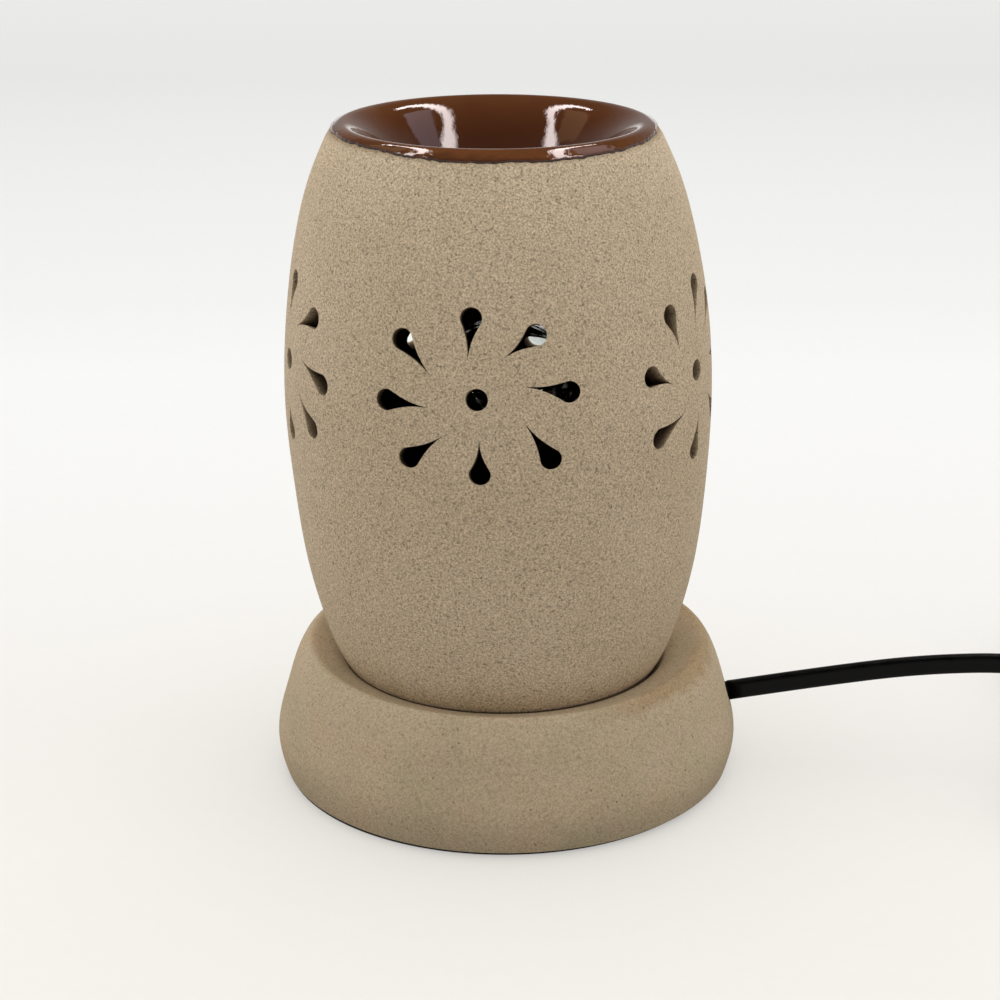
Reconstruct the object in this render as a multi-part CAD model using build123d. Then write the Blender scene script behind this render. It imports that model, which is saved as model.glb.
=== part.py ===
from build123d import *
import math
import os

os.makedirs("parts", exist_ok=True)

# Electric essential oil burner, in millimetres. The origin is the middle of the underside, +Z up.
# The front faces -Y and the flex leaves along +X.

# General clearances
overrun = 3.0          # how far a cutting solid runs past the wall that it cuts
free_gap = 0.3         # between pieces that move apart
slip_gap = 0.05        # radial clearance of a shaft or thread in its bore

# Base ring of stoneware, standing on a thin pad
pad_thick = 1.0
pad_inset = 1.0        # how far the pad lies inside the foot of the clay
base_spread = 19.33    # from the lip of the well out to the widest
base_top_z = 37.1      # crest
base_wall = 5.5
seat_z = 24.0          # floor of the well, on which the barrel stands
seat_thick = 5.0
seat_gap = 0.9         # between the barrel and the wall of the well
lip_z = 32.6           # upper edge of the well
base_round = 1.5       # inner corners of the hollow underside
base_outer_shares = [(0.0, 0.972), (0.222, 1.0), (0.582, 0.9595), (0.859, 0.91), (0.945, 0.884), (1.0, 0.85)]
lip_shares = [(0.36, 0.73), (0.78, 0.38)]
hollow_shares = [0.7, 0.3]  # of base_wall: past the well's floor, below its lip

# Barrel of stoneware with the oil dish in its top
belly_r = 57.45
wall = 5.2
foot_round = 1.2
barrel_outer_shares = [
    (0.0, 0.667), (0.064, 0.7815), (0.141, 0.860), (0.243, 0.928), (0.384, 0.9765),
    (0.544, 1.0), (0.710, 0.968), (0.838, 0.9034), (0.921, 0.834), (0.980, 0.7615),
]
rim_r = 40.4
dish_depth = 25.0
dish_floor = 5.0       # thickness of the clay under the dish
dish_rise = 23.2       # of the underside of the dish above the bulb
glaze_thick = 0.4
dish_shares = [
    (1.052, 0.056), (1.0, 0.0), (0.916, 0.028), (0.824, 0.132), (0.748, 0.312),
    (0.690, 0.572), (0.605, 0.81), (0.43, 0.94), (0.22, 0.99), (0.0, 1.0),
]
coat_shares = [0.0, 0.06, 0.12, 0.19, 0.27, 0.36, 0.46, 0.58, 0.70, 0.84, 1.0]
under_shares = [0.43, 0.52, 0.62, 0.72, 0.84, 1.0]

# Rosettes cut through the barrel: a round hole and eight teardrops, each set out by hand.
# Angles are in degrees from the front (-Y) towards +X. Each teardrop is its head and its tip,
# across and up from the middle of the rosette, as shares of rosette_r.
rosette_r = 22.0
rosette_drop = 58.5    # from the crest of the barrel down to the middle of a rosette
hole_r = 2.8
petal_head_r = 2.75
cut_tilt = 18.0        # degrees by which the knife slopes down as it goes in
front_petal_shares = [
    ((-0.09, 0.91), (-0.13, 0.45)), ((-0.87, 0.61), (-0.53, 0.24)), ((-1.08, -0.09), (-0.56, -0.12)),
    ((-0.77, -0.72), (-0.37, -0.42)), ((0.04, -0.85), (0.04, -0.45)), ((0.83, -0.69), (0.53, -0.26)),
    ((1.03, 0.06), (0.54, 0.15)), ((0.66, 0.71), (0.30, 0.47)),
]
right_petal_shares = [
    ((0.13, 1.01), (0.03, 0.48)), ((-0.50, 0.77), (-0.35, 0.29)), ((-0.87, 0.11), (-0.51, -0.05)),
    ((-0.76, -0.62), (-0.30, -0.41)), ((-0.05, -0.98), (0.03, -0.49)), ((0.74, -0.66), (0.38, -0.35)),
    ((0.98, 0.02), (0.50, 0.05)), ((0.68, 0.72), (0.34, 0.38)),
]
left_petal_shares = [
    ((-0.06, 0.92), (-0.05, 0.57)), ((-0.75, 0.66), (-0.40, 0.31)), ((-0.98, -0.03), (-0.50, -0.02)),
    ((-0.72, -0.70), (-0.36, -0.38)), ((0.03, -0.90), (0.02, -0.47)), ((0.80, -0.57), (0.38, -0.20)),
    ((1.06, 0.06), (0.47, 0.22)), ((0.78, 0.78), (0.32, 0.55)),
]
back_petal_shares = [
    ((0.02, 0.95), (0.0, 0.49)), ((-0.70, 0.70), (-0.36, 0.36)), ((-1.0, 0.04), (-0.51, 0.0)),
    ((-0.70, -0.68), (-0.37, -0.35)), ((0.03, -0.88), (0.01, -0.46)), ((1.10, -0.66), (0.55, -0.33)),
    ((1.04, 0.05), (0.52, 0.04)), ((0.73, 0.70), (0.37, 0.34)),
]
rosette_angles = [-6.0, 63.0, 140.0, 208.5, 284.0]
rosette_petal_shares = [
    front_petal_shares, right_petal_shares, back_petal_shares, front_petal_shares, left_petal_shares,
]

# Lampholder for a small Edison screw bulb, on a threaded nipple through the floor of the well
washer_thick = 1.0
fibre_washer_r = 11.0
steel_washer_r = 10.0
nipple_r = 5.0
nipple_bore_r = 3.6
nipple_tail = 1.5      # below the nut
nipple_grip = 7.0      # thread inside the cap
nut_thick = 4.0
nut_flats = 14.0
holder_r = 14.0
cap_boss_r = 8.0
cap_boss_rise = 2.0
cap_dome_rise = 8.0
cap_dome_shares = (0.7, 0.4)  # where its arc passes, from the boss outwards and up
cap_floor_thick = 8.0
cap_rise = 19.0        # foot of the cap to its shoulder
cap_neck_r = 12.6
cap_neck_rise = 6.0
core_r = 11.0
core_ledge_r = 10.2
core_ledge_rise = 16.0
core_height = 14.5
core_recess_r = 7.6
core_recess_depth = 5.5
shell_rise = 46.0      # foot of the cap to the mouth of the shell
shell_bore_r = 7.9
terminal_y = 8.9
terminal_head_r = 1.3
terminal_head_rise = 1.6
terminal_shank_r = 0.9
terminal_shank = 4.0
contact_thick = 0.3
contact_width = 4.0
contact_rise = 1.5     # the middle of the centre contact above the floor of the recess
side_contact_rise = 9.0
wire_hole_r = 1.3

# Bulb: clear golf ball shape on a small Edison screw cap
bulb_r = 22.5
bulb_length = 75.0
bulb_wall = 0.8
bulb_neck_r = 7.6
tip_r = 2.2
tip_rise = 1.3
insulator_rise = 2.0
cap_shell_r = 6.9
cap_shell_rise = 17.5
cap_shell_thick = 0.5
cap_skirt_r = 8.5
cap_skirt_rise = 4.0
stem_r = 2.2
stem_rise = 20.0
stem_flare_r = 6.2
lead_r = 0.3
lead_spread = 9.0
lead_rise = 13.0
filament_r = 0.35
filament_sag = 4.0
bulb_neck_shares = [(0.0, 0.0), (0.10, 0.30), (0.48, 0.62)]

# Flex: flat twin cord, wide side upright
cord_width = 5.4
cord_thick = 3.2
cord_exit_proud = 1.09  # of the chords of the base's profile, at the face of the bush
cord_exit_z = 19.0
cord_exit_slope = 9.0  # degrees above level
inner_end_x = 21.8     # where the flex ends inside, from the middle
bush_r = 4.6
bush_length = 7.1
bush_flange_r = 5.8
bush_flange_thick = 1.5
bush_gap = 0.2
stop_width = 4.0
stop_thick = 1.1
stop_head = 4.2
wire_r = 0.95
wire_apart = 3.0
wire_low_z = 8.6
wire_bend_r = 2.6
soft_share = 0.45      # of the shorter run beside a corner of a route, taken up by its bend

# Route of the lead from the bush to the switch, chosen by hand
lead_points = [
    (63.3, 0.0, 19.0), (90.6, 0.0, 23.324), (119.0, -1.5, 27.6), (147.0, -7.5, 30.5), (173.5, -19.5, 27.0),
    (197.2, -36.8, 17.0), (216.5, -54.2, 6.4), (234.1, -57.4, 2.9), (250.3, -49.8, 4.2), (260.0, -34.9, 7.2),
    (260.0, -17.1, 7.2),
]
# Route of the link from the switch to the coil
link_points = [
    (260.0, 45.0, 7.2), (260.0, 62.5, 7.2), (250.7, 77.3, 4.4), (235.1, 85.3, 3.2), (218.4, 88.2, 3.5),
    (201.0, 88.2, 3.5),
]
# Route of the tail from the coil to the boot of the plug
tail_points = [(161.5, 48.7, 9.4), (161.5, 40.0, 9.4), (161.5, 26.0, 7.0), (161.5, 16.0, 7.0)]

# Coil of the put-away cord: in on the lower layer, out on the upper
coil_outer_r = 39.5
coil_pitch = 5.9
coil_layer_rise = 5.9
coil_turns = 3
tie_width = 6.0
tie_thick = 0.6
tie_gap = 0.1
gap_step = 3.0         # between the points on which the least gap is measured
tie_step = 2.0

# Inline switch
switch_length = 62.0
switch_width = 26.0
switch_end_width = 13.0
switch_height = 14.4
switch_wall = 2.0
switch_round = 2.2
rocker_width = 11.0
rocker_length = 21.0
rocker_rise = 2.6      # above the upper shell when level
rocker_depth = 6.0
rocker_dip = 1.0
rocker_tilt = 8.0      # degrees either way of level
rocker_pin_r = 1.0
rocker_pin_drop = 2.2  # below the top of the upper shell
window_gap = 0.5
pin_boss_r = 2.2
pin_boss_width = 2.4
switch_screw_y = 23.5
switch_screw_r = 1.4
switch_screw_head_r = 2.6
switch_screw_length = 10.0
switch_boss_r = 2.9
plate_width = 5.0
plate_length = 15.0
plate_thick = 1.0
plate_apart = 5.0
plate_rise = 3.5

# Plug: flat two-pin, lying on its side face
plug_length = 37.0
plug_width = 35.3
plug_tail_width = 16.0
plug_height = 14.0
plug_shoulder = 12.0
plug_round = 2.4
plug_bow_share = 0.56  # how far the side has spread halfway to the shoulder
pin_r = 2.0
pin_length = 19.0
pin_apart = 18.6
boot_length = 30.0
boot_root_r = 5.2
boot_tip_r = 3.8
boot_slot = 1.6
boot_slot_pitch = 4.5
boot_slot_depth = 1.0
boot_slots = 5

stand = (Align.CENTER, Align.CENTER, Align.MIN)


def keep(node, shape):
    """Write one node's STEP file and print its volume."""
    export_step(shape, f"parts/{node}.step")
    print(f"{node}: {shape.volume / 1000:.3f} cm3, {len(shape.solids())} solid(s)")


def turned(edges):
    """Solid of revolution about Z of the closed outline that the edges make, in radius and height."""
    return revolve(Plane.XZ * make_face(edges), Axis.Z)


def ring(outer_r, inner_r, low_z, high_z):
    """Round ring or, with no inner radius, a disc."""
    body = Pos(0, 0, low_z) * Cylinder(outer_r, high_z - low_z, align=stand)
    if inner_r:
        body -= Pos(0, 0, low_z) * Cylinder(inner_r, high_z - low_z, align=stand)
    return body


def barrel_points(inset=0.0):
    """Outer profile of the barrel in radius and height, or the same set in by a wall."""
    return [(r * belly_r - inset, seat_z + h * barrel_height) for h, r in barrel_outer_shares]


def radius_at(points, z):
    """Radius at a height, along the chords of a profile."""
    for (r0, z0), (r1, z1) in zip(points, points[1:]):
        if z <= z1:
            return r0 + (r1 - r0) * (z - z0) / (z1 - z0)
    return points[-1][0]


def dish_edge():
    """Top surface of the clay, from the lower edge of the glaze over the rim to the middle of the dish."""
    points = [barrel_points()[-1]] + [(r * rim_r, crest_z - d * dish_depth) for r, d in dish_shares]
    return Spline(*points)


def beside(edge, shares, distance):
    """Points beside an edge, at shares of its length, on its right hand when the distance is positive."""
    points = []
    for share in shares:
        spot, way = edge @ share, edge % share
        points.append((max(spot.X + distance * way.Y, 0.0), spot.Y - distance * way.X))
    return points


def teardrop(head, tip):
    """Outline of a round head with a pointed tip, from the two tangents of the head through the tip."""
    across, up = tip[0] - head[0], tip[1] - head[1]
    length = math.hypot(across, up)
    lean = math.acos(petal_head_r / length)
    way = math.atan2(up, across)

    def rim(turn):
        return (head[0] + petal_head_r * math.cos(way + turn), head[1] + petal_head_r * math.sin(way + turn))

    return make_face([
        Line(rim(lean), tip), Line(tip, rim(-lean)), ThreePointArc(rim(-lean), rim(math.pi), rim(lean)),
    ])


def wall_cutter(sketch, angle):
    """Push a flat outline, drawn across and up, through the barrel wall at an angle from the front."""
    turn, tilt = math.radians(angle), math.radians(cut_tilt)
    out = Vector(math.sin(turn), -math.cos(turn), 0)
    across = Vector(math.cos(turn), math.sin(turn), 0)
    way = out * math.cos(tilt) + Vector(0, 0, math.sin(tilt))
    origin = out * belly_r + Vector(0, 0, crest_z - rosette_drop) - way * 2 * wall
    return extrude(Plane(origin=origin, x_dir=across, z_dir=out) * sketch, 2 * wall + overrun, dir=way)


def rosette_cutters(angle, petal_shares):
    """The round hole and eight teardrops of one rosette, each cut square to the wall where it lies."""
    cutters = [wall_cutter(Circle(hole_r), angle)]
    for head_share, tip_share in petal_shares:
        head = (head_share[0] * rosette_r, head_share[1] * rosette_r)
        tip = (tip_share[0] * rosette_r, tip_share[1] * rosette_r)
        middle = (head[0] + tip[0]) / 2
        outline = teardrop((head[0] - middle, head[1]), (tip[0] - middle, tip[1]))
        cutters.append(wall_cutter(outline, angle + math.degrees(middle / belly_r)))
    return cutters


def make_burner_body():
    """Barrel and oil dish as one shell of clay, open at the foot, pierced by the rosettes."""
    top = dish_edge()
    outer = barrel_points()
    inner = barrel_points(wall)[:-1]
    under = beside(top, under_shares, -dish_floor)
    crown = ((inner[-1][0] + under[0][0]) / 2, inner[-1][1] + (inner[-1][0] - under[0][0]) / 2)
    clay = make_face([
        Spline(*outer),
        top,
        Line(top @ 1, under[-1]),
        Spline(*reversed(under)),
        ThreePointArc(under[0], crown, inner[-1]),
        Spline(*reversed(inner)),
        Line(inner[0], outer[0]),
    ])
    feet = clay.vertices().sort_by(Axis.Y)[:2]
    body = revolve(Plane.XZ * fillet(feet, foot_round), Axis.Z)
    rosettes = zip(rosette_angles, rosette_petal_shares)
    cutters = [c for angle, shares in rosettes for c in rosette_cutters(angle, shares)]
    return body.cut(*cutters)


def make_dish_glaze():
    """Glossy coat on the clay of the dish, over the rim and a little down the outside."""
    clay = dish_edge()
    coat = beside(clay, coat_shares, glaze_thick)
    return turned([clay, Line(clay @ 1, coat[-1]), Spline(*reversed(coat)), Line(coat[0], clay @ 0)])


def well_r(z):
    """Radius of the wall of the well, a clearance past the barrel."""
    return radius_at(barrel_points(), z) + seat_gap


def base_points():
    """Outer profile of the base ring, from its foot to its crest."""
    base_r = well_r(lip_z) + base_spread
    rise = base_top_z - pad_thick
    return [(r * base_r, pad_thick + h * rise) for h, r in base_outer_shares]


def exit_axis(distance):
    """Point on the axis of the cord's hole, at a distance outwards from the face of the bush."""
    slope = math.radians(cord_exit_slope)
    face_x = radius_at(base_points(), cord_exit_z) + cord_exit_proud
    return (face_x + distance * math.cos(slope), 0, cord_exit_z + distance * math.sin(slope))


def exit_plane(distance):
    """Plane square to the cord's hole, with its Y axis upwards."""
    slope = math.radians(cord_exit_slope)
    return Plane(origin=exit_axis(distance), x_dir=(0, 1, 0), z_dir=(math.cos(slope), 0, math.sin(slope)))


def make_base_ring():
    """Stoneware ring, hollow below, with the well for the barrel, the nipple's hole and the cord's hole."""
    outer = base_points()
    crest = outer[-1]
    lip = (well_r(lip_z), lip_z)
    slope = [
        (crest[0] + u * (lip[0] - crest[0]), lip[1] + v * (crest[1] - lip[1])) for u, v in lip_shares
    ]
    floor_r = well_r(seat_z)
    hole_r_mm = nipple_r + free_gap
    under_z = seat_z - seat_thick
    past_floor, below_lip = [share * base_wall for share in hollow_shares]
    inside = [
        (floor_r + past_floor, under_z),
        (outer[3][0] - base_wall, lip_z - below_lip),
        (outer[2][0] - base_wall, outer[2][1]),
        (outer[1][0] - base_wall, outer[1][1]),
        (outer[0][0] - base_wall, outer[0][1]),
    ]
    clay = make_face([
        Spline(*outer, *slope, lip),
        Line(lip, (floor_r, seat_z)),
        Polyline((floor_r, seat_z), (hole_r_mm, seat_z), (hole_r_mm, under_z), inside[0]),
        Polyline(*inside),
        Line(inside[-1], outer[0]),
    ])
    corners = [v for v in clay.vertices() for p in inside[:3] if math.dist((v.X, v.Y), p) < slip_gap]
    body = revolve(Plane.XZ * fillet(corners, base_round), Axis.Z)
    hole = extrude(exit_plane(-bush_length - overrun) * Circle(bush_r + bush_gap), bush_length + 2 * overrun)
    return body - hole


# Heights of the lampholder, the bulb and the barrel over them, from the floor of the well upwards
nut_top_z = seat_z - seat_thick - washer_thick
nipple_z = nut_top_z - nut_thick - nipple_tail
holder_z = seat_z + washer_thick
core_top_z = holder_z + core_ledge_rise + core_height
recess_z = core_top_z - core_recess_depth
contact_z = recess_z + contact_rise + contact_thick
bulb_z = contact_z + free_gap
cap_shell_z = bulb_z + tip_rise + insulator_rise
skirt_z = cap_shell_z + cap_shell_rise
neck_z = skirt_z + cap_skirt_rise / 2
bulb_top_z = bulb_z + bulb_length
bulb_middle_z = bulb_top_z - bulb_r
crest_z = bulb_top_z + dish_rise + dish_floor + dish_depth
barrel_height = crest_z - seat_z


def make_holder_cap():
    """Lower part of the lampholder: a boss with the nipple's thread, a dome and a neck for the shell."""
    z = holder_z
    shoulder_z = z + cap_rise
    bore_r = nipple_r + slip_gap
    out_share, up_share = cap_dome_shares
    dome_r = cap_boss_r + (holder_r - cap_boss_r) * out_share
    dome_z = z + cap_boss_rise + (cap_dome_rise - cap_boss_rise) * up_share
    hollow_z = z + cap_floor_thick
    ledge_z = z + core_ledge_rise
    return turned([
        Polyline((bore_r, z), (cap_boss_r, z), (cap_boss_r, z + cap_boss_rise)),
        ThreePointArc((cap_boss_r, z + cap_boss_rise), (dome_r, dome_z), (holder_r, z + cap_dome_rise)),
        Polyline(
            (holder_r, z + cap_dome_rise), (holder_r, shoulder_z), (cap_neck_r, shoulder_z),
            (cap_neck_r, shoulder_z + cap_neck_rise), (core_r + slip_gap, shoulder_z + cap_neck_rise),
            (core_r + slip_gap, ledge_z), (core_ledge_r, ledge_z), (core_ledge_r, hollow_z),
            (bore_r, hollow_z), (bore_r, z),
        ),
    ])


def make_holder_core():
    """Porcelain core: a recess for the contacts, a hole for each wire and a seat for each screw."""
    low_z = holder_z + core_ledge_rise
    core = ring(core_r, 0, low_z, core_top_z)
    core -= ring(core_recess_r, 0, recess_z, core_top_z + overrun)
    pocket_y = terminal_y + terminal_head_r + slip_gap
    for side in (-1, 1):
        spot = Pos(0, side * terminal_y, 0)
        core -= Pos(0, side * pocket_y / 2, (recess_z + core_top_z + overrun) / 2) * Box(
            contact_width + 2 * slip_gap, pocket_y, core_top_z + overrun - recess_z
        )
        core -= spot * ring(wire_hole_r, 0, low_z - overrun, recess_z + overrun)
    return core


def make_holder_shell():
    """Upper part of the lampholder: it screws over the cap's neck, holds the core down and takes the bulb."""
    low_z = holder_z + cap_rise
    neck_top_z = low_z + cap_neck_rise + slip_gap
    shell = ring(holder_r, shell_bore_r, low_z, holder_z + shell_rise)
    shell -= ring(cap_neck_r + slip_gap, 0, low_z, neck_top_z)
    shell -= ring(core_r + slip_gap, 0, low_z, core_top_z)
    mouth = shell.edges().filter_by(GeomType.CIRCLE).group_by(Axis.Z)[-1]
    return chamfer(mouth, free_gap)


def make_terminal_screws():
    """Two brass screws in the recess of the core, one on each wire."""
    screws = []
    for side in (-1, 1):
        under_z = recess_z + contact_thick
        head = ring(terminal_head_r, 0, under_z, under_z + terminal_head_rise)
        shank = ring(terminal_shank_r, 0, under_z - terminal_shank, under_z)
        screws.append(Pos(0, side * terminal_y, 0) * (head + shank))
    return Compound(screws)


def make_centre_contact():
    """Springy strip from one screw to the middle, raised there to meet the tip of the bulb."""
    inner = terminal_y - terminal_head_r
    path = [
        (-terminal_y - terminal_shank_r, recess_z), (-inner, recess_z),
        (-tip_r, recess_z + contact_rise), (tip_r, recess_z + contact_rise),
    ]
    top = [(y, z + contact_thick) for y, z in reversed(path)]
    strip = make_face(Polyline(*path, *top, close=True))
    blade = extrude(Plane.YZ * strip, contact_width / 2, both=True)
    hole = ring(terminal_shank_r + slip_gap, 0, recess_z - overrun, recess_z + overrun)
    return blade - Pos(0, -terminal_y, 0) * hole


def make_side_contact():
    """Springy strip from the other screw, turned up beside the bulb's threaded cap."""
    near = cap_shell_r + free_gap
    base = Pos(0, (near + terminal_y + terminal_shank_r) / 2, recess_z + contact_thick / 2) * Box(
        contact_width, terminal_y + terminal_shank_r - near, contact_thick
    )
    blade = Pos(0, near + contact_thick / 2, recess_z + side_contact_rise / 2) * Box(
        contact_width, contact_thick, side_contact_rise
    )
    hole = ring(terminal_shank_r + slip_gap, 0, recess_z - overrun, recess_z + overrun)
    return base + blade - Pos(0, terminal_y, 0) * hole


def make_nut():
    """Thin hexagon nut that clamps the lampholder through the floor of the well."""
    hexagon = RegularPolygon(nut_flats / 2, 6, major_radius=False)
    nut = Pos(0, 0, nut_top_z - nut_thick) * extrude(hexagon, nut_thick)
    return nut - ring(nipple_r + slip_gap, 0, nut_top_z - nut_thick - overrun, nut_top_z + overrun)


def glass_points(inset):
    """Outline of the bulb's glass from its neck to the top, set in by a wall."""
    neck = bulb_neck_r - inset
    widest = bulb_r - inset
    rise = bulb_middle_z - neck_z
    points = [(neck + r * (widest - neck), neck_z + h * rise) for r, h in bulb_neck_shares]
    return points + [(widest, bulb_middle_z), (0, bulb_top_z - inset)]


def make_bulb_glass():
    """Thin glass globe, open at the neck."""
    outer, inner = glass_points(0), glass_points(bulb_wall)
    ends = [(0, 1), (0, 1)]
    half = math.sqrt(1 / 2)

    def dome(points):
        radius = points[3][0]
        return ThreePointArc(points[3], (half * radius, bulb_middle_z + half * radius), points[4])

    return turned([
        Spline(*outer[:4], tangents=ends),
        dome(outer),
        Line(outer[4], inner[4]),
        dome(inner),
        Spline(*inner[:4], tangents=ends),
        Line(inner[0], outer[0]),
    ])


def make_bulb_cap():
    """Thin metal cap: the screwed shell and the skirt round the neck of the glass."""
    out_r, thick = cap_shell_r, cap_shell_thick
    foot_r = out_r - 2 * thick
    outer = [
        (foot_r, cap_shell_z), (out_r, cap_shell_z + 2 * thick), (out_r, skirt_z),
        (cap_skirt_r, skirt_z + cap_skirt_rise / 2), (cap_skirt_r, skirt_z + cap_skirt_rise),
    ]
    inner = [
        (cap_skirt_r - thick, skirt_z + cap_skirt_rise), (cap_skirt_r - thick, skirt_z + cap_skirt_rise / 2),
        (out_r - thick, skirt_z + thick / 2), (out_r - thick, cap_shell_z + 2 * thick),
        (foot_r - thick, cap_shell_z),
    ]
    return turned([Polyline(*outer, *inner, close=True)])


def make_bulb_insulator():
    """Black glass between the cap and its tip contact."""
    low_r = tip_r + cap_shell_thick
    high_r = cap_shell_r - 3 * cap_shell_thick
    return Pos(0, 0, cap_shell_z - insulator_rise) * Cone(low_r, high_r, insulator_rise, align=stand)


def make_bulb_tip():
    """Rounded tip contact under the insulator."""
    tip = ring(tip_r, 0, bulb_z, bulb_z + tip_rise)
    return fillet(tip.edges().filter_by(GeomType.CIRCLE).sort_by(Axis.Z)[:1], tip_rise / 2)


def make_bulb_stem():
    """Glass stem that carries the wires, flared to close the neck."""
    return turned([Polyline(
        (0, neck_z), (stem_flare_r, neck_z), (stem_flare_r, neck_z + bulb_wall),
        (stem_r, neck_z + 4 * bulb_wall), (stem_r, neck_z + stem_rise), (0, neck_z + stem_rise), close=True,
    )])


def make_bulb_leads():
    """Two lead-in wires that stand out of the stem and spread to the ends of the filament."""
    leads = []
    low_z = neck_z + stem_rise + slip_gap
    for side in (-1, 1):
        path = Line((side * stem_r / 2, 0, low_z), (side * lead_spread, 0, low_z + lead_rise))
        leads.append(sweep(Plane(origin=path @ 0, z_dir=path % 0) * Circle(lead_r), path=path))
    return Compound(leads)


def make_bulb_filament():
    """Filament, sagging between the leads."""
    z = neck_z + stem_rise + slip_gap + lead_rise + 2 * (lead_r + filament_r)
    path = ThreePointArc((-lead_spread, 0, z), (0, 0, z - filament_sag), (lead_spread, 0, z))
    return sweep(Plane(origin=path @ 0, z_dir=path % 0) * Circle(filament_r), path=path)


def flex_outline():
    """Section of the flat flex, wide side up."""
    return Rot(0, 0, 90) * SlotOverall(cord_width, cord_thick)


def inner_cord_length():
    """Length of the flex inside, from the face of the bush to its end."""
    return (exit_axis(0)[0] - inner_end_x) / math.cos(math.radians(cord_exit_slope))


def make_inner_cord():
    """End of the flex inside the base, straight from the face of the bush towards the nipple."""
    length = inner_cord_length()
    return extrude(exit_plane(-length) * flex_outline(), length)


def make_cord_bush():
    """Bush in the wall of the base, flanged on the inside, with a slot for the flex."""
    bush = extrude(exit_plane(-bush_length) * Circle(bush_r), bush_length)
    bush += extrude(exit_plane(-bush_length - bush_flange_thick) * Circle(bush_flange_r), bush_flange_thick)
    slot = Rot(0, 0, 90) * SlotOverall(cord_width + 2 * slip_gap, cord_thick + 2 * slip_gap)
    length = bush_length + bush_flange_thick
    return bush - extrude(exit_plane(-length - overrun) * slot, length + 2 * overrun)


def make_cord_stop():
    """Nylon tie drawn tight round the flex behind the bush, so that a pull can't take it out."""
    start = -bush_length - bush_flange_thick - stop_width - slip_gap
    outer = Rot(0, 0, 90) * SlotOverall(cord_width + 2 * stop_thick, cord_thick + 2 * stop_thick)
    inner = Rot(0, 0, 90) * SlotOverall(cord_width + 2 * slip_gap, cord_thick + 2 * slip_gap)
    head = Rectangle(stop_head / 2 + stop_thick, stop_head)
    head = Pos(cord_thick / 2 + stop_thick + stop_head / 4, 0) * head
    return extrude(exit_plane(start) * (outer + head - inner), stop_width)


def make_wire(side):
    """One insulated wire, from the end of the flex up through the nipple to its terminal."""
    start = exit_plane(-inner_cord_length() - free_gap).from_local_coords((0, side * cord_width / 4, 0))
    near = side * wire_apart / 2
    far = side * terminal_y
    rise_z = holder_z + cap_floor_thick + wire_r
    end_z = recess_z + contact_thick - terminal_shank - slip_gap
    turn_z = (rise_z + holder_z + core_ledge_rise) / 2
    points = [
        start, (start.X / 2, near, wire_low_z),
        (0, near, wire_low_z), (0, near, rise_z), (0, far, turn_z), (0, far, end_z),
    ]
    path = FilletPolyline(*points, radius=wire_bend_r)
    return sweep(Plane(origin=path @ 0, z_dir=path % 0) * Circle(wire_r), path=path)


def corner_radii(points):
    """Radius at each corner of a route: a share of its shorter run over the tangent of half the turn."""
    radii = []
    for a, b, c in zip(points, points[1:], points[2:]):
        before, after = Vector(*b) - Vector(*a), Vector(*c) - Vector(*b)
        turn = math.radians(before.get_angle(after))
        radii.append(soft_share * min(before.length, after.length) / math.tan(turn / 2))
    return radii


def make_tube(name, points):
    """Round tube as thick as the flex is wide, along straight runs joined by arcs."""
    radii = corner_radii(points)
    path = FilletPolyline(*points, radius=radii)
    tube = sweep(Plane(origin=path @ 0, z_dir=path % 0) * Circle(cord_width / 2), path=path)
    whole = path.length * math.pi * cord_width ** 2 / 4
    print(f"{name}: {path.length:.1f} long, volume over section times length {tube.volume / whole:.4f}")
    print(f"{name}: corner radii {[round(r) for r in radii]}")
    return tube


def climb(start, end, heading):
    """Half turn that rises from one layer to the next, as two equal arcs that share a tangent."""
    reach = (end - start).length / 2
    joint = (start + heading * reach + end + heading * reach) / 2
    first = TangentArc(start, joint, tangent=heading)
    return [first, TangentArc(joint, end, tangent=first % 1)]


def coil_path():
    """Turns of the coil in half circles: in on the lower layer, up, and out on the upper one."""
    spot = Vector(*link_points[-1])
    middle_x = spot.X
    radii = [coil_outer_r - k * coil_pitch / 2 for k in range(2 * coil_turns)]
    edges = []
    side = -1

    def half_turn(start, radius, way):
        centre = start + Vector(0, way * radius, 0)
        end = start + Vector(0, 2 * way * radius, 0)
        return ThreePointArc(start, centre + Vector(way * radius, 0, 0), end), end

    for radius in radii:
        arc, spot = half_turn(spot, radius, side)
        edges.append(arc)
        side = -side
    inner = radii[-1] - coil_pitch / 2
    high = spot + Vector(0, 2 * side * inner, coil_layer_rise)
    edges += climb(spot, high, Vector(side, 0, 0))
    spot = high
    side = -side
    for radius in reversed(radii[1:]):
        arc, spot = half_turn(spot, radius, side)
        edges.append(arc)
        side = -side
    quarter = coil_outer_r
    centre = spot + Vector(0, side * quarter, 0)
    lean = math.sqrt(1 / 2) * quarter
    edges.append(ThreePointArc(
        spot, centre + Vector(side * lean, -side * lean, 0), centre + Vector(side * quarter, 0, 0),
    ))
    print(f"coil: middle x {middle_x:.1f}, ends at {tuple(edges[-1] @ 1)} heading {tuple(edges[-1] % 1)}")
    return Wire(edges)


def least_gap(path, width):
    """Least clear distance between turns, on points along the path more than four widths apart."""
    count = int(path.length / gap_step)
    spots = [tuple(path @ (k / count)) for k in range(count + 1)]
    skip = round(4 * width / gap_step)
    least = path.length
    for i, a in enumerate(spots):
        for b in spots[i + skip:]:
            least = min(least, math.dist(a, b))
    return least - width


def make_coil(path):
    """The wound part of the cord as one tube."""
    tube = sweep(Plane(origin=path @ 0, z_dir=path % 0) * Circle(cord_width / 2), path=path)
    whole = path.length * math.pi * cord_width ** 2 / 4
    print(f"coil: {path.length:.1f} long, volume over section times length {tube.volume / whole:.4f}")
    print(f"coil: least gap {least_gap(path, cord_width):.2f}")
    return tube


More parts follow.
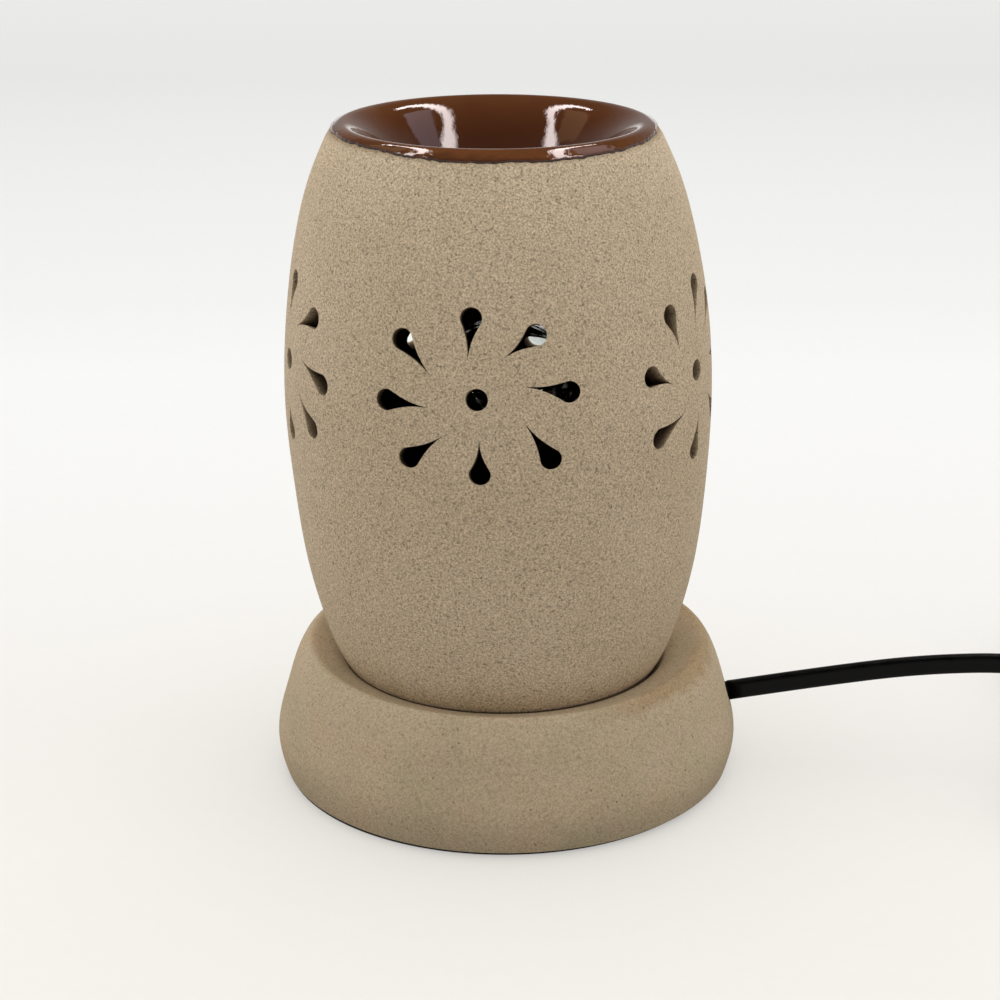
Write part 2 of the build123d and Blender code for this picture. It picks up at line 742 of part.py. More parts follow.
def make_coil_tie(path):
    """Flat tie round the bundle of turns, on the right of the coil."""
    count = int(path.length / tie_step)
    middle = Vector(*link_points[-1]) - Vector(0, coil_outer_r, 0)
    spots = [path @ (k / count) for k in range(count + 1)]
    near = [p for p in spots if abs(p.Y - middle.Y) < tie_width and p.X > middle.X]
    reach = cord_width / 2 + tie_gap
    low_x, high_x = min(p.X for p in near) - reach, max(p.X for p in near) + reach
    low_z, high_z = min(p.Z for p in near) - reach, max(p.Z for p in near) + reach
    centre = Pos((low_x + high_x) / 2, (low_z + high_z) / 2)
    inner = RectangleRounded(high_x - low_x, high_z - low_z, reach - tie_gap)
    outer = RectangleRounded(high_x - low_x + 2 * tie_thick, high_z - low_z + 2 * tie_thick, reach)
    return Pos(0, middle.Y, 0) * extrude(Plane.XZ * (centre * (outer - inner)), tie_width / 2, both=True)


# Places of the switch and the plug, from the ends of the cord's routes
switch_x = lead_points[-1][0]
switch_y = lead_points[-1][1] + switch_length / 2
switch_axis_z = lead_points[-1][2]
switch_low_z = switch_axis_z - switch_height / 2
switch_top_z = switch_low_z + switch_height
pin_z = switch_top_z - rocker_pin_drop
pin_length_across = rocker_width + 2 * window_gap + 2 * pin_boss_width
screw_tip_z = switch_low_z + switch_screw_length
plug_x, plug_y, plug_axis_z = tail_points[-1]


def switch_outline(inset=0.0):
    """Plan of the switch: bowed sides between narrower ends, set in by a wall."""
    half_long = switch_length / 2 - inset
    half_end, half_wide = switch_end_width / 2 - inset, switch_width / 2 - inset
    return make_face([
        ThreePointArc((half_end, -half_long), (half_wide, 0), (half_end, half_long)),
        Line((half_end, half_long), (-half_end, half_long)),
        ThreePointArc((-half_end, half_long), (-half_wide, 0), (-half_end, -half_long)),
        Line((-half_end, -half_long), (half_end, -half_long)),
    ])


def switch_case():
    """Tray of the switch: the form of its lower half, without its holes, on the plane of its parting."""
    rise = switch_height / 2
    block = extrude(fillet(switch_outline().vertices(), switch_round), -rise)
    low = block.faces().sort_by(Axis.Z)[0]
    block = fillet(low.edges(), switch_round - slip_gap)
    hollow = extrude(fillet(switch_outline(switch_wall).vertices(), switch_round / 2), -rise + switch_wall)
    case = block - hollow
    for side in (-1, 1):
        case += Pos(0, side * switch_screw_y, 0) * ring(switch_boss_r, 0, -rise + switch_wall, 0)
    return case


def make_switch_lower():
    """Lower half of the switch, with a countersunk hole through each boss."""
    tray = Pos(0, 0, switch_axis_z) * switch_case()
    for side in (-1, 1):
        spot = Pos(0, side * switch_screw_y, 0)
        tray -= spot * ring(switch_screw_r + slip_gap, 0, switch_low_z - overrun, switch_axis_z + overrun)
        tray -= spot * Pos(0, 0, switch_low_z) * Cone(
            switch_screw_head_r + slip_gap, switch_screw_r + slip_gap, switch_screw_r, align=stand
        )
    return Pos(switch_x, switch_y, 0) * tray


def make_switch_upper():
    """Upper half of the switch, with the rocker's window, the bosses of its pin and the screw bosses."""
    ceiling_z = switch_top_z - switch_wall
    lid = Pos(0, 0, switch_axis_z) * Rot(180, 0, 0) * switch_case()
    for side in (-1, 1):
        lid -= Pos(0, side * switch_screw_y, 0) * ring(
            switch_screw_r + slip_gap, 0, switch_axis_z - overrun, screw_tip_z
        )
        boss_x = side * (rocker_width / 2 + window_gap + pin_boss_width / 2)
        boss_height = ceiling_z + slip_gap - pin_z + pin_boss_r
        lid += Pos(boss_x, 0, pin_z - pin_boss_r + boss_height / 2) * Box(
            pin_boss_width, 2 * pin_boss_r, boss_height
        )
    lid -= Pos(0, 0, switch_top_z) * Box(
        rocker_width + 2 * window_gap, rocker_length + 2 * window_gap, 2 * switch_height
    )
    lid -= Pos(0, 0, pin_z) * Rot(0, 90, 0) * Cylinder(rocker_pin_r, pin_length_across)
    return Pos(switch_x, switch_y, 0) * lid


def make_rocker():
    """Rocker with ends curved about its pin, at rest with its far end pressed down."""
    half = rocker_length / 2
    top, low = rocker_pin_drop + rocker_rise, -rocker_pin_r
    keel = low - (rocker_depth - rocker_pin_drop) / 2
    reach_top = math.sqrt(half ** 2 - top ** 2)
    reach_low = math.sqrt(half ** 2 - low ** 2)
    mid = (top + low) / 2
    reach_mid = math.sqrt(half ** 2 - mid ** 2)
    outline = make_face([
        ThreePointArc((-reach_top, top), (0, top - rocker_dip), (reach_top, top)),
        ThreePointArc((reach_top, top), (reach_mid, mid), (reach_low, low)),
        Polyline((reach_low, low), (half / 3, keel), (-half / 3, keel), (-reach_low, low)),
        ThreePointArc((-reach_low, low), (-reach_mid, mid), (-reach_top, top)),
    ])
    rocker = extrude(Plane.YZ * outline, rocker_width / 2, both=True)
    rocker -= Rot(0, 90, 0) * Cylinder(rocker_pin_r + slip_gap, 2 * rocker_width)
    return Pos(switch_x, switch_y, pin_z) * Rot(-rocker_tilt, 0, 0) * rocker


def make_rocker_pin():
    """Steel pin of the rocker, held in the two bosses of the upper half."""
    return Pos(switch_x, switch_y, pin_z) * Rot(0, 90, 0) * Cylinder(rocker_pin_r, pin_length_across)


def make_switch_contacts():
    """Two brass contact plates on the floor of the switch, each with a post below the rocker."""
    floor_z = switch_low_z + switch_wall
    plates = []
    for side in (-1, 1):
        plate = Pos(0, side * (plate_apart + plate_length) / 2, floor_z) * Box(
            plate_width, plate_length, plate_thick, align=stand
        )
        post = Pos(0, side * (plate_apart + plate_thick) / 2, floor_z) * Box(
            plate_width, plate_thick, plate_rise, align=stand
        )
        plates.append(Pos(switch_x, switch_y, 0) * (plate + post))
    return Compound(plates)


def make_switch_screws():
    """Two countersunk screws that hold the halves of the switch together, from below."""
    screws = []
    for side in (-1, 1):
        shank = ring(switch_screw_r, 0, switch_low_z, screw_tip_z - slip_gap)
        head = Cone(switch_screw_head_r, switch_screw_r, switch_screw_r, align=stand)
        screw = shank + Pos(0, 0, switch_low_z) * head
        screws.append(Pos(switch_x, switch_y + side * switch_screw_y, 0) * screw)
    return Compound(screws)


def make_plug_boot():
    """Tapered strain relief of the plug, ringed with slots so that it bends."""
    outline = [(0, 0), (boot_root_r, 0), (boot_tip_r, boot_length), (0, boot_length)]
    boot = revolve(Plane.XZ * make_face(Polyline(*outline, close=True)), Axis.Z)
    for k in range(boot_slots):
        low = boot_length - (k + 1) * boot_slot_pitch
        radius = boot_tip_r + (boot_root_r - boot_tip_r) * (1 - low / boot_length) - boot_slot_depth
        boot -= ring(2 * boot_root_r, radius, low, low + boot_slot)
    return Pos(plug_x, plug_y - boot_length, plug_axis_z) * Rot(-90, 0, 0) * boot


def make_plug_body():
    """Moulded body of the plug, narrow at the boot and wide at the pins."""
    half_tail, half = plug_tail_width / 2, plug_width / 2
    shoulder = plug_length - plug_shoulder
    bow = half_tail + plug_bow_share * (half - half_tail)
    outline = make_face([
        Line((-half_tail, 0), (half_tail, 0)),
        ThreePointArc((half_tail, 0), (bow, -shoulder / 2), (half, -shoulder)),
        Polyline((half, -shoulder), (half, -plug_length), (-half, -plug_length), (-half, -shoulder)),
        ThreePointArc((-half, -shoulder), (-bow, -shoulder / 2), (-half_tail, 0)),
    ])
    body = Pos(0, 0, plug_axis_z) * extrude(outline, plug_height / 2, both=True)
    body = fillet(body.edges().filter_by(Axis.Z), plug_round)
    body = fillet(body.edges().filter_by(Plane.XY), plug_round / 2)
    return Pos(plug_x, plug_y - boot_length, 0) * body


def make_plug_pins():
    """Two round pins with rounded ends."""
    pins = []
    for side in (-1, 1):
        pin = Cylinder(pin_r, pin_length, align=stand)
        pin = fillet(pin.edges().filter_by(GeomType.CIRCLE).sort_by(Axis.Z)[-1:], pin_r / 2)
        spot = Pos(plug_x + side * pin_apart / 2, plug_y - boot_length - plug_length, plug_axis_z)
        pins.append(spot * Rot(90, 0, 0) * pin)
    return Compound(pins)


keep("burner_body", make_burner_body())
keep("dish_glaze", make_dish_glaze())
keep("base_ring", make_base_ring())
keep("base_pad", ring(base_points()[0][0] - pad_inset, 0, 0, pad_thick))
keep("fibre_washer", ring(fibre_washer_r, nipple_r + slip_gap, seat_z, seat_z + washer_thick))
keep("steel_washer", ring(steel_washer_r, nipple_r + slip_gap, nut_top_z, nut_top_z + washer_thick))
keep("holder_nut", make_nut())
keep("holder_nipple", ring(nipple_r, nipple_bore_r, nipple_z, holder_z + nipple_grip))
keep("holder_cap", make_holder_cap())
keep("holder_core", make_holder_core())
keep("holder_shell", make_holder_shell())
keep("terminal_screws", make_terminal_screws())
keep("centre_contact", make_centre_contact())
keep("side_contact", make_side_contact())
keep("bulb_glass", make_bulb_glass())
keep("bulb_cap", make_bulb_cap())
keep("bulb_insulator", make_bulb_insulator())
keep("bulb_tip", make_bulb_tip())
keep("bulb_stem", make_bulb_stem())
keep("bulb_leads", make_bulb_leads())
keep("bulb_filament", make_bulb_filament())
keep("inner_cord", make_inner_cord())
keep("cord_bush", make_cord_bush())
keep("cord_stop", make_cord_stop())
keep("live_wire", make_wire(1))
keep("neutral_wire", make_wire(-1))
keep("cord_lead", make_tube("cord_lead", lead_points))
keep("cord_link", make_tube("cord_link", link_points))
keep("cord_tail", make_tube("cord_tail", tail_points))
winding = coil_path()
keep("cord_coil", make_coil(winding))
keep("coil_tie", make_coil_tie(winding))
keep("switch_lower", make_switch_lower())
keep("switch_upper", make_switch_upper())
keep("switch_rocker", make_rocker())
keep("rocker_pin", make_rocker_pin())
keep("switch_contacts", make_switch_contacts())
keep("switch_screws", make_switch_screws())
keep("plug_boot", make_plug_boot())
keep("plug_body", make_plug_body())
keep("plug_pins", make_plug_pins())
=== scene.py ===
# %% [markdown]
# # An electric oil burner in stoneware
# A hand-made burner: a pierced barrel with a glazed oil dish stands in a base ring over a small bulb.
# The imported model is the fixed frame. Each visible piece is dressed here, in the same place, in metres.

# %% The frame and the imports
import math

import bmesh
import bpy
import numpy as np
from mathutils import Matrix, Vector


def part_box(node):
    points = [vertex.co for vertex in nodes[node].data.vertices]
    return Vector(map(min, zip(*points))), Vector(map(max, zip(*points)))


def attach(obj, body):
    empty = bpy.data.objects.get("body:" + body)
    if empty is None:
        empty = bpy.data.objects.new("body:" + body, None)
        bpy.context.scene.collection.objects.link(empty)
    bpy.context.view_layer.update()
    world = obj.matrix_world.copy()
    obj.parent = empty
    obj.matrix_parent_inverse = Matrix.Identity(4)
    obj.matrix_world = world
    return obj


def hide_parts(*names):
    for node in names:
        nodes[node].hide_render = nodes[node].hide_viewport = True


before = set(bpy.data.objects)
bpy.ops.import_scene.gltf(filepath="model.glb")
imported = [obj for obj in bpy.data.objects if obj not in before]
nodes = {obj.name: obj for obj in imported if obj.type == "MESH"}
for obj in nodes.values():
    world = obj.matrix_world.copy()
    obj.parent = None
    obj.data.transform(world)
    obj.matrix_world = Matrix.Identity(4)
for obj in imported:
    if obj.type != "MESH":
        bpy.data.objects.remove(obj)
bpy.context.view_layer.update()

# %% A new object
def new_object(name, data):
    """Object in the scene that shows this data."""
    made = bpy.data.objects.new(name, data)
    bpy.context.scene.collection.objects.link(made)
    return made


# %% [markdown]
# ## The camera
# The photograph was taken from a little above, with the burner filling the height of the picture.
# The place, tilt and lens come from the widths of the base and barrel and from the curves of their edges.

# %% The camera
camera_place = (-0.00106, -0.5912, 0.2865)
camera_tilt = 19.58      # degrees below level
camera_roll = -0.16
lens_length, film_width = 82.3, 36.0  # millimetres
lens = bpy.data.cameras.new("camera")
lens.lens, lens.sensor_width = lens_length, film_width
camera = new_object("camera", lens)
tilt_turn = Matrix.Rotation(math.radians(90 - camera_tilt), 4, "X")
roll_turn = Matrix.Rotation(math.radians(camera_roll), 4, "Z")
camera.matrix_world = Matrix.Translation(camera_place) @ (tilt_turn @ roll_turn)
bpy.context.scene.camera = camera
print("camera at", camera_place, "looking down", camera_tilt)


# %% [markdown]
# ## Surfaces from arrays
# Nearly every piece here was turned, thrown or drawn along a line, so a few helpers make nearly all of
# them. Each works out its points as whole arrays and hands them to one function that fills a mesh.

# %% A grid of points becomes a piece
same_place = 1e-7  # points closer together than this are one


def add_piece(name, points, faces, body, smooth=True):
    """Mesh object from an (n, 3) array of points and a list of faces, with faces turned outwards."""
    mesh = bpy.data.meshes.new(name)
    mesh.from_pydata(points.tolist(), [], faces)
    work = bmesh.new()
    work.from_mesh(mesh)
    bmesh.ops.remove_doubles(work, verts=work.verts, dist=same_place)
    bmesh.ops.recalc_face_normals(work, faces=work.faces)
    work.to_mesh(mesh)
    work.free()
    mesh.polygons.foreach_set("use_smooth", np.full(len(mesh.polygons), smooth))
    piece = new_object(name, mesh)
    if body:
        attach(piece, body)
    return piece


def grid_faces(rows, columns, wrap_rows=False, wrap_columns=False):
    """Quads of a grid: corner (i, j), (i, j+1), (i+1, j+1), (i+1, j), with either way closed on itself."""
    i, j = np.meshgrid(
        np.arange(rows if wrap_rows else rows - 1), np.arange(columns if wrap_columns else columns - 1),
        indexing="ij",
    )
    down, right = (i + 1) % rows, (j + 1) % columns
    quads = [i * columns + j, i * columns + right, down * columns + right, down * columns + j]
    return np.stack(quads, -1).reshape(-1, 4).tolist()


def run_along(points):
    """Length run at each point of a line."""
    return np.concatenate([[0], np.cumsum(np.linalg.norm(np.diff(points, axis=0), axis=1))])


def ways_along(line):
    """Direction of length 1 at each point of a line."""
    way = np.gradient(line, axis=0)
    return way / np.linalg.norm(way, axis=1)[:, None]


def smooth_line(points, count):
    """Natural cubic through the points, by the length of their chords, sampled evenly along that length."""
    points = np.asarray(points, float)
    t = run_along(points)
    h, n = np.diff(t), len(points)
    matrix, right = np.eye(n), np.zeros_like(points)
    k = np.arange(1, n - 1)
    matrix[k, k - 1], matrix[k, k], matrix[k, k + 1] = h[:-1], 2 * (h[:-1] + h[1:]), h[1:]
    slopes = np.diff(points, axis=0) / h[:, None]
    right[1:-1] = 6 * np.diff(slopes, axis=0)
    bend = np.linalg.solve(matrix, right)
    s = np.linspace(0, t[-1], count)
    c = np.clip(np.searchsorted(t, s) - 1, 0, n - 2)
    a, b, w = ((t[c + 1] - s) / h[c])[:, None], ((s - t[c]) / h[c])[:, None], h[c][:, None] ** 2 / 6
    return a * points[c] + b * points[c + 1] + ((a ** 3 - a) * bend[c] + (b ** 3 - b) * bend[c + 1]) * w


def straight_line(points, count):
    """Straight runs through the points, sampled evenly along their length, without the last point."""
    points = np.asarray(points, float)
    t = run_along(points)
    s = np.linspace(0, t[-1], count + 1)[:-1]
    return np.stack([np.interp(s, t, points[:, k]) for k in range(2)], -1)


def turn_angles(count):
    """Even angles of a full turn, from 0."""
    return np.arange(count) * 2 * math.pi / count


def round_grid(r, z, columns):
    """Points (r cos a, r sin a, z) as (rows, columns, 3), from r and z with one column or with all."""
    a = turn_angles(columns)
    return np.stack([r * np.cos(a), r * np.sin(a), np.broadcast_to(z, (len(z), columns))], -1)


def turned(name, profile, columns, body, shape=None, closed=False):
    """Surface of revolution about Z. shape may bend the (rows, columns, 3) grid."""
    r, z = np.asarray(profile, float).T
    grid = round_grid(r[:, None], z[:, None], columns)
    if shape is not None:
        grid = shape(grid)
    return add_piece(name, grid.reshape(-1, 3), grid_faces(len(r), columns, closed, True), body)


def spots_of(mesh):
    """Places of a mesh's points as an (n, 3) array."""
    spots = np.zeros(len(mesh.vertices) * 3)
    mesh.vertices.foreach_get("co", spots)
    return spots.reshape(-1, 3)


def add_map(mesh, name, pairs):
    """UV layer from one pair of numbers for each point."""
    corner = np.zeros(len(mesh.loops), int)
    mesh.loops.foreach_get("vertex_index", corner)
    mesh.uv_layers.new(name=name).data.foreach_set("uv", pairs[corner].ravel())


def give_map(piece, name, value):
    """UV layer: u is the share of a turn, v a value from 0 to 1 worked out from the places of the points."""
    spots = spots_of(piece.data)
    turn_share = np.arctan2(spots[:, 1], spots[:, 0]) / (2 * math.pi) + 0.5
    add_map(piece.data, name, np.stack([turn_share, np.clip(value(spots), 0, 1)], -1))


# %% [markdown]
# ## The flex
# The flex is a flat twin mains lead, 5.4 mm wide and 3.2 mm thick, that leaves the base with its wide side
# upright and a little upwards. Its route is a NURBS line. The sheath is a flat section with a shallow
# groove between the two cores, carried along that line and kept upright.

# %% The line of the flex
def drawn_line(points):
    """Points of a quadratic NURBS line with these control points, as Blender evaluates it."""
    curve = bpy.data.curves.new("line", "CURVE")
    curve.dimensions, curve.resolution_u = "3D", 10
    spline = curve.splines.new("NURBS")
    spline.points.add(len(points) - 1)
    spline.points.foreach_set("co", np.c_[np.asarray(points, float), np.ones(len(points))].ravel())
    spline.order_u = 3
    spline.use_endpoint_u = True
    holder = bpy.data.objects.new("line", curve)
    mesh = bpy.data.meshes.new_from_object(holder)
    line = spots_of(mesh)
    bpy.data.objects.remove(holder)
    bpy.data.curves.remove(curve)
    bpy.data.meshes.remove(mesh)
    return line


def line_length(line):
    """Length of a line of points."""
    return float(np.linalg.norm(np.diff(line, axis=0), axis=1).sum())


lead_route = np.array([
    (63.3, 0, 19), (90.6, 0, 23.324), (119, -1.5, 27.6), (147, -7.5, 30.5), (173.5, -19.5, 27),
    (197.2, -36.8, 17), (216.5, -54.2, 6.4), (234.1, -57.4, 2.9), (250.3, -49.8, 4.2), (260, -34.9, 7.2),
    (260, -17.1, 7.2),
]) / 1000
link_route = np.array([
    (260, 45, 7.2), (260, 62.5, 7.2), (250.7, 77.3, 4.4), (235.1, 85.3, 3.2), (218.4, 88.2, 3.5),
    (201, 88.2, 3.5),
]) / 1000
tail_route = np.array([(161.5, 48.7, 9.4), (161.5, 40, 9.4), (161.5, 26, 7), (161.5, 16, 7)]) / 1000
lead_line = drawn_line(lead_route)
print("flex from base to switch:", round(line_length(lead_line), 4), "m")

# %% The put-away coil, as more points of the same line
coil_radii = np.array([39.5, 36.55, 33.6, 30.65, 27.7, 24.75, 21.8, 24.75, 27.7, 30.65, 33.6, 36.55]) / 1000
coil_steps, leaving_steps = 8, 4   # points of a half circle, and of the quarter that leaves the coil
climbing_half = 6                  # half circles before the one that climbs to the upper layer
low_layer, high_layer = 0.0035, 0.0094


def coil_points():
    """Half circles about alternate middles: each starts where the last ended, and the seventh climbs.
    Point = (x0 + r cos a, middle + r sin a, z), a from a quarter turn on, z rising over the seventh half."""
    ways = -np.sign(np.cos(np.arange(len(coil_radii)) * math.pi))
    ends = link_route[-1, 1] + np.concatenate([[0], np.cumsum(2 * ways * coil_radii)])
    middles = (ends[:-1] + ends[1:]) / 2
    half, step = np.divmod(np.arange(1, len(coil_radii) * coil_steps + 1) - 0.5, coil_steps)
    half, step = half.astype(int), step / coil_steps
    angle = math.pi * (0.5 + half + step)
    climb = np.clip(half + step - climbing_half, 0, 1)
    z = low_layer + (high_layer - low_layer) * (3 * climb ** 2 - 2 * climb ** 3)
    x = link_route[-1, 0] + coil_radii[half] * np.cos(angle)
    y = middles[half] + coil_radii[half] * np.sin(angle)
    last_r = coil_radii[0]
    last_angle = math.pi * (0.5 + (np.arange(leaving_steps) + 0.5) / coil_steps)
    leaving = np.stack([
        link_route[-1, 0] + last_r * np.cos(last_angle), ends[-1] - last_r + last_r * np.sin(last_angle),
        np.full(leaving_steps, high_layer),
    ], -1)
    return np.concatenate([np.stack([x, y, z], -1), leaving])


rest_route = np.concatenate([link_route, coil_points(), tail_route])
rest_line = drawn_line(rest_route)
print("flex from switch to plug:", round(line_length(rest_line), 4), "m,", len(rest_route), "control points")

# %% The sheath of the flex
flex_wide, flex_thick = 0.0054, 0.0032
groove_share, groove_half = 0.14, 0.00055  # depth as a share of the thickness, and half width
section_angles = turn_angles(28)


def flex_section():
    """Flattened ring with a groove: v = h sin a and u = w cos a, both squared up by a power of the sine or
    cosine, and u less the groove's share near the middle."""
    c, s = np.cos(section_angles), np.sin(section_angles)
    u = flex_thick / 2 * np.sign(c) * np.abs(c) ** 0.48
    v = flex_wide / 2 * np.sign(s) * np.abs(s) ** 0.62
    return u * (1 - groove_share * np.exp(-(v / groove_half) ** 2)), v


def make_flex(name, line, exit_point, length, **facts):
    """Section points u, v at each point of the line: line + u side + v up, with up square to the line."""
    way = ways_along(line)
    side = np.cross(way, [0, 0, 1])
    side /= np.linalg.norm(side, axis=1)[:, None]
    up = np.cross(side, way)
    u, v = flex_section()
    grid = line[:, None] + side[:, None] * u[None, :, None] + up[:, None] * v[None, :, None]
    rows, columns = grid.shape[:2]
    faces = grid_faces(rows, columns, False, True)
    faces += [list(range(columns)), list(range((rows - 1) * columns, rows * columns))]
    piece = add_piece(name, grid.reshape(-1, 3), faces, "base")
    return piece


switch_nodes = [
    "switch_lower", "switch_upper", "switch_rocker", "rocker_pin", "switch_contacts", "switch_screws",
]
plug_nodes = ["plug_boot", "plug_body", "plug_pins"]
flex_lead = make_flex(
    "flex_lead", lead_line, lead_route[0], line_length(lead_line), far_end="fitting", stiffness="medium",
    lay="loose", with_pieces=[nodes[n] for n in switch_nodes],
)
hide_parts("cord_lead")
flex_rest = make_flex(
    "flex_rest", rest_line, rest_route[0], line_length(rest_line), far_end="plug", stiffness="medium",
    lay="coiled", with_pieces=[nodes[n] for n in plug_nodes + ["coil_tie"]],
)
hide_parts("cord_link", "cord_coil", "cord_tail")


# %% [markdown]
# ## Finishes
# Every finish is made from nodes. Colours are written as sRGB hex and turned to linear light. Patterns
# read the piece's own coordinates, so a grain of sand is as large on the barrel as on the base.

# %% Helpers for finishes
def linear(code):
    """sRGB hex to linear: c / 12.92 below 0.04045, else ((c + 0.055) / 1.055) ** 2.4."""
    c = np.array([int(code[k:k + 2], 16) for k in (0, 2, 4)]) / 255
    return (*np.where(c <= 0.04045, c / 12.92, ((c + 0.055) / 1.055) ** 2.4), 1.0)


def node(tree, kind, links=(), **settings):
    """Adds a node; settings name a property or, with a number or colour, an input socket. links are
    (input socket, output socket of another node)."""
    made = tree.nodes.new(kind)
    for key, value in settings.items():
        if hasattr(made, key):
            setattr(made, key, value)
        else:
            made.inputs[key.replace("_", " ")].default_value = value
    for target, source in links:
        tree.links.new(source, made.inputs[target])
    return made


def finish(name, **sockets):
    """New material with one Principled shader, whose named sockets are set; returns the material, its tree
    and the shader."""
    material = bpy.data.materials.new(name)
    material.use_nodes = True
    tree = material.node_tree
    shader = tree.nodes["Principled BSDF"]
    for key, value in sockets.items():
        shader.inputs[key.replace("_", " ")].default_value = value
    return material, tree, shader


def wear(piece, material):
    """Gives a piece one material."""
    piece.data.materials.clear()
    piece.data.materials.append(material)


def ramp(tree, source, stops):
    """Colour ramp over (place, hex) stops."""
    made = node(tree, "ShaderNodeValToRGB", [("Fac", source)])
    band = made.color_ramp
    band.elements[0].position, band.elements[0].color = stops[0][0], linear(stops[0][1])
    band.elements[1].position, band.elements[1].color = stops[-1][0], linear(stops[-1][1])
    for place, code in stops[1:-1]:
        band.elements.new(place).color = linear(code)
    return made.outputs["Color"]


def noise(tree, place, size, detail=2.0, rough=0.5):
    """Noise whose features are about size metres wide."""
    return node(
        tree, "ShaderNodeTexNoise", [("Vector", place)], Scale=1 / size, Detail=detail, Roughness=rough,
    ).outputs["Fac"]


def mixed(tree, share, a, b, blend="MIX"):
    """Colour a mixed with b by a share, which may be a number or a socket."""
    made = node(tree, "ShaderNodeMix", data_type="RGBA", blend_type=blend)
    for socket, value in ((0, share), (6, a), (7, b)):
        if isinstance(value, bpy.types.NodeSocket):
            tree.links.new(value, made.inputs[socket])
        else:
            made.inputs[socket].default_value = value
    return made.outputs[2]


def maths(tree, operation, *values):
    """Math node on numbers or sockets."""
    made = node(tree, "ShaderNodeMath", operation=operation)
    for k, value in enumerate(values):
        if isinstance(value, bpy.types.NodeSocket):
            tree.links.new(value, made.inputs[k])
        else:
            made.inputs[k].default_value = value
    return made.outputs[0]


def spread(tree, source, low, high, to_low=0.0, to_high=1.0):
    """Map Range from low..high to to_low..to_high, held at its ends."""
    made = node(tree, "ShaderNodeMapRange", [("Value", source)])
    for key, value in (("From Min", low), ("From Max", high), ("To Min", to_low), ("To Max", to_high)):
        made.inputs[key].default_value = value
    return made.outputs["Result"]


def own_place(tree):
    """Place on the piece, in its own coordinates."""
    return node(tree, "ShaderNodeTexCoord").outputs["Object"]


def axes_of(tree, place):
    """X, Y and Z of a place."""
    return node(tree, "ShaderNodeSeparateXYZ", [("Vector", place)]).outputs


def bump(tree, shader, height, strength, distance):
    """Fine relief of a shader from a height."""
    made = node(tree, "ShaderNodeBump", [("Height", height)], Strength=strength, Distance=distance)
    tree.links.new(made.outputs["Normal"], shader.inputs["Normal"])


def map_value(tree):
    """The second number of the piece's own map."""
    return axes_of(tree, node(tree, "ShaderNodeTexCoord").outputs["UV"])["Y"]


def off_axis(tree, axes):
    """Distance from the upright middle line: the root of x squared plus y squared."""
    x, y = (maths(tree, "POWER", axes[way], 2.0) for way in "XY")
    return maths(tree, "SQRT", maths(tree, "ADD", x, y))


# %% Stoneware with open sand
cloud_size, pit_apart, pit_patch = 0.035, 0.0019, 0.0034


def stoneware(name, light, middle, dark, grain, grain_low, grain_high, pit_share):
    """Unglazed stoneware: the clay's tone drifts over centimetres, and sand grains multiply it by
    grain_low..grain_high. Small pits where grains fell out show as dark dots."""
    material, tree, shader = finish(name, Roughness=0.94, IOR=1.45, Specular_IOR_Level=0.18)
    place = own_place(tree)
    broad = noise(tree, place, cloud_size, 3.0, 0.5)
    clay = ramp(tree, broad, [(0.30, dark), (0.5, middle), (0.70, light)])
    sand = noise(tree, place, grain, 3.0, 0.75)
    clay = mixed(tree, 1.0, clay, spread(tree, sand, 0.36, 0.64, grain_low, grain_high), "MULTIPLY")
    specks = noise(tree, place, grain * 1.7, 1.0)
    clay = mixed(tree, 1.0, clay, spread(tree, specks, 0.60, 0.70, 1.0, 1 - pit_share), "MULTIPLY")
    cells = node(tree, "ShaderNodeTexVoronoi", [("Vector", place)], Scale=1 / pit_apart).outputs["Distance"]
    pits = spread(tree, cells, 0.10, 0.19, 1.0, 0.0)
    chosen = spread(tree, noise(tree, place, pit_patch, 1.0), 0.58, 0.62)
    pits = maths(tree, "MULTIPLY", maths(tree, "MULTIPLY", pits, chosen), 0.7)
    clay = mixed(tree, pits, clay, linear("5a4c3b"))
    height = maths(tree, "SUBTRACT", sand, pits)
    bump(tree, shader, height, 0.3, 0.0003)
    return material, tree, shader, clay, place


# %% The coarse stoneware of the barrel
# The cut faces and the inside are darkened by their depth below the skin: painted shade in the holes and
# inside the barrel.
# A ring of painted shade lies where the foot meets the mouth of the well: it stands for the shadow in the
# seam between barrel and base.
seam_shade_low, seam_shade_full, seam_shade_edge, seam_shade_top = 0.0300, 0.0321, 0.0325, 0.0329
barrel_clay, tree, shader, clay, place = stoneware(
    "sandy_stoneware", "ccb89d", "c9b599", "c5b194", 0.00046, 0.60, 1.40, 0.38,
)
# Painted shade: darker with depth below the skin, on the petals' cut walls and the inside of the barrel.
painted_recess_shade = ramp(
    tree, map_value(tree), [(0.0, "ffffff"), (0.12, "d2cdc6"), (0.5, "8c8279"), (1.0, "6e665f")],
)
clay = mixed(tree, 1.0, clay, painted_recess_shade, "MULTIPLY")
height = axes_of(tree, place)["Z"]
# Painted shade: a dark ring on the barrel's foot, at the seam where it sits in the base's well.
above = spread(tree, height, seam_shade_edge, seam_shade_top, 0.72, 0.0)
below = spread(tree, height, seam_shade_low, seam_shade_full)
clay = mixed(tree, maths(tree, "MULTIPLY", above, below), clay, linear("1e1710"))
tree.links.new(clay, shader.inputs["Base Color"])
# Prints the top of the painted seam shade ring.
print("dirt ring up to", seam_shade_top)

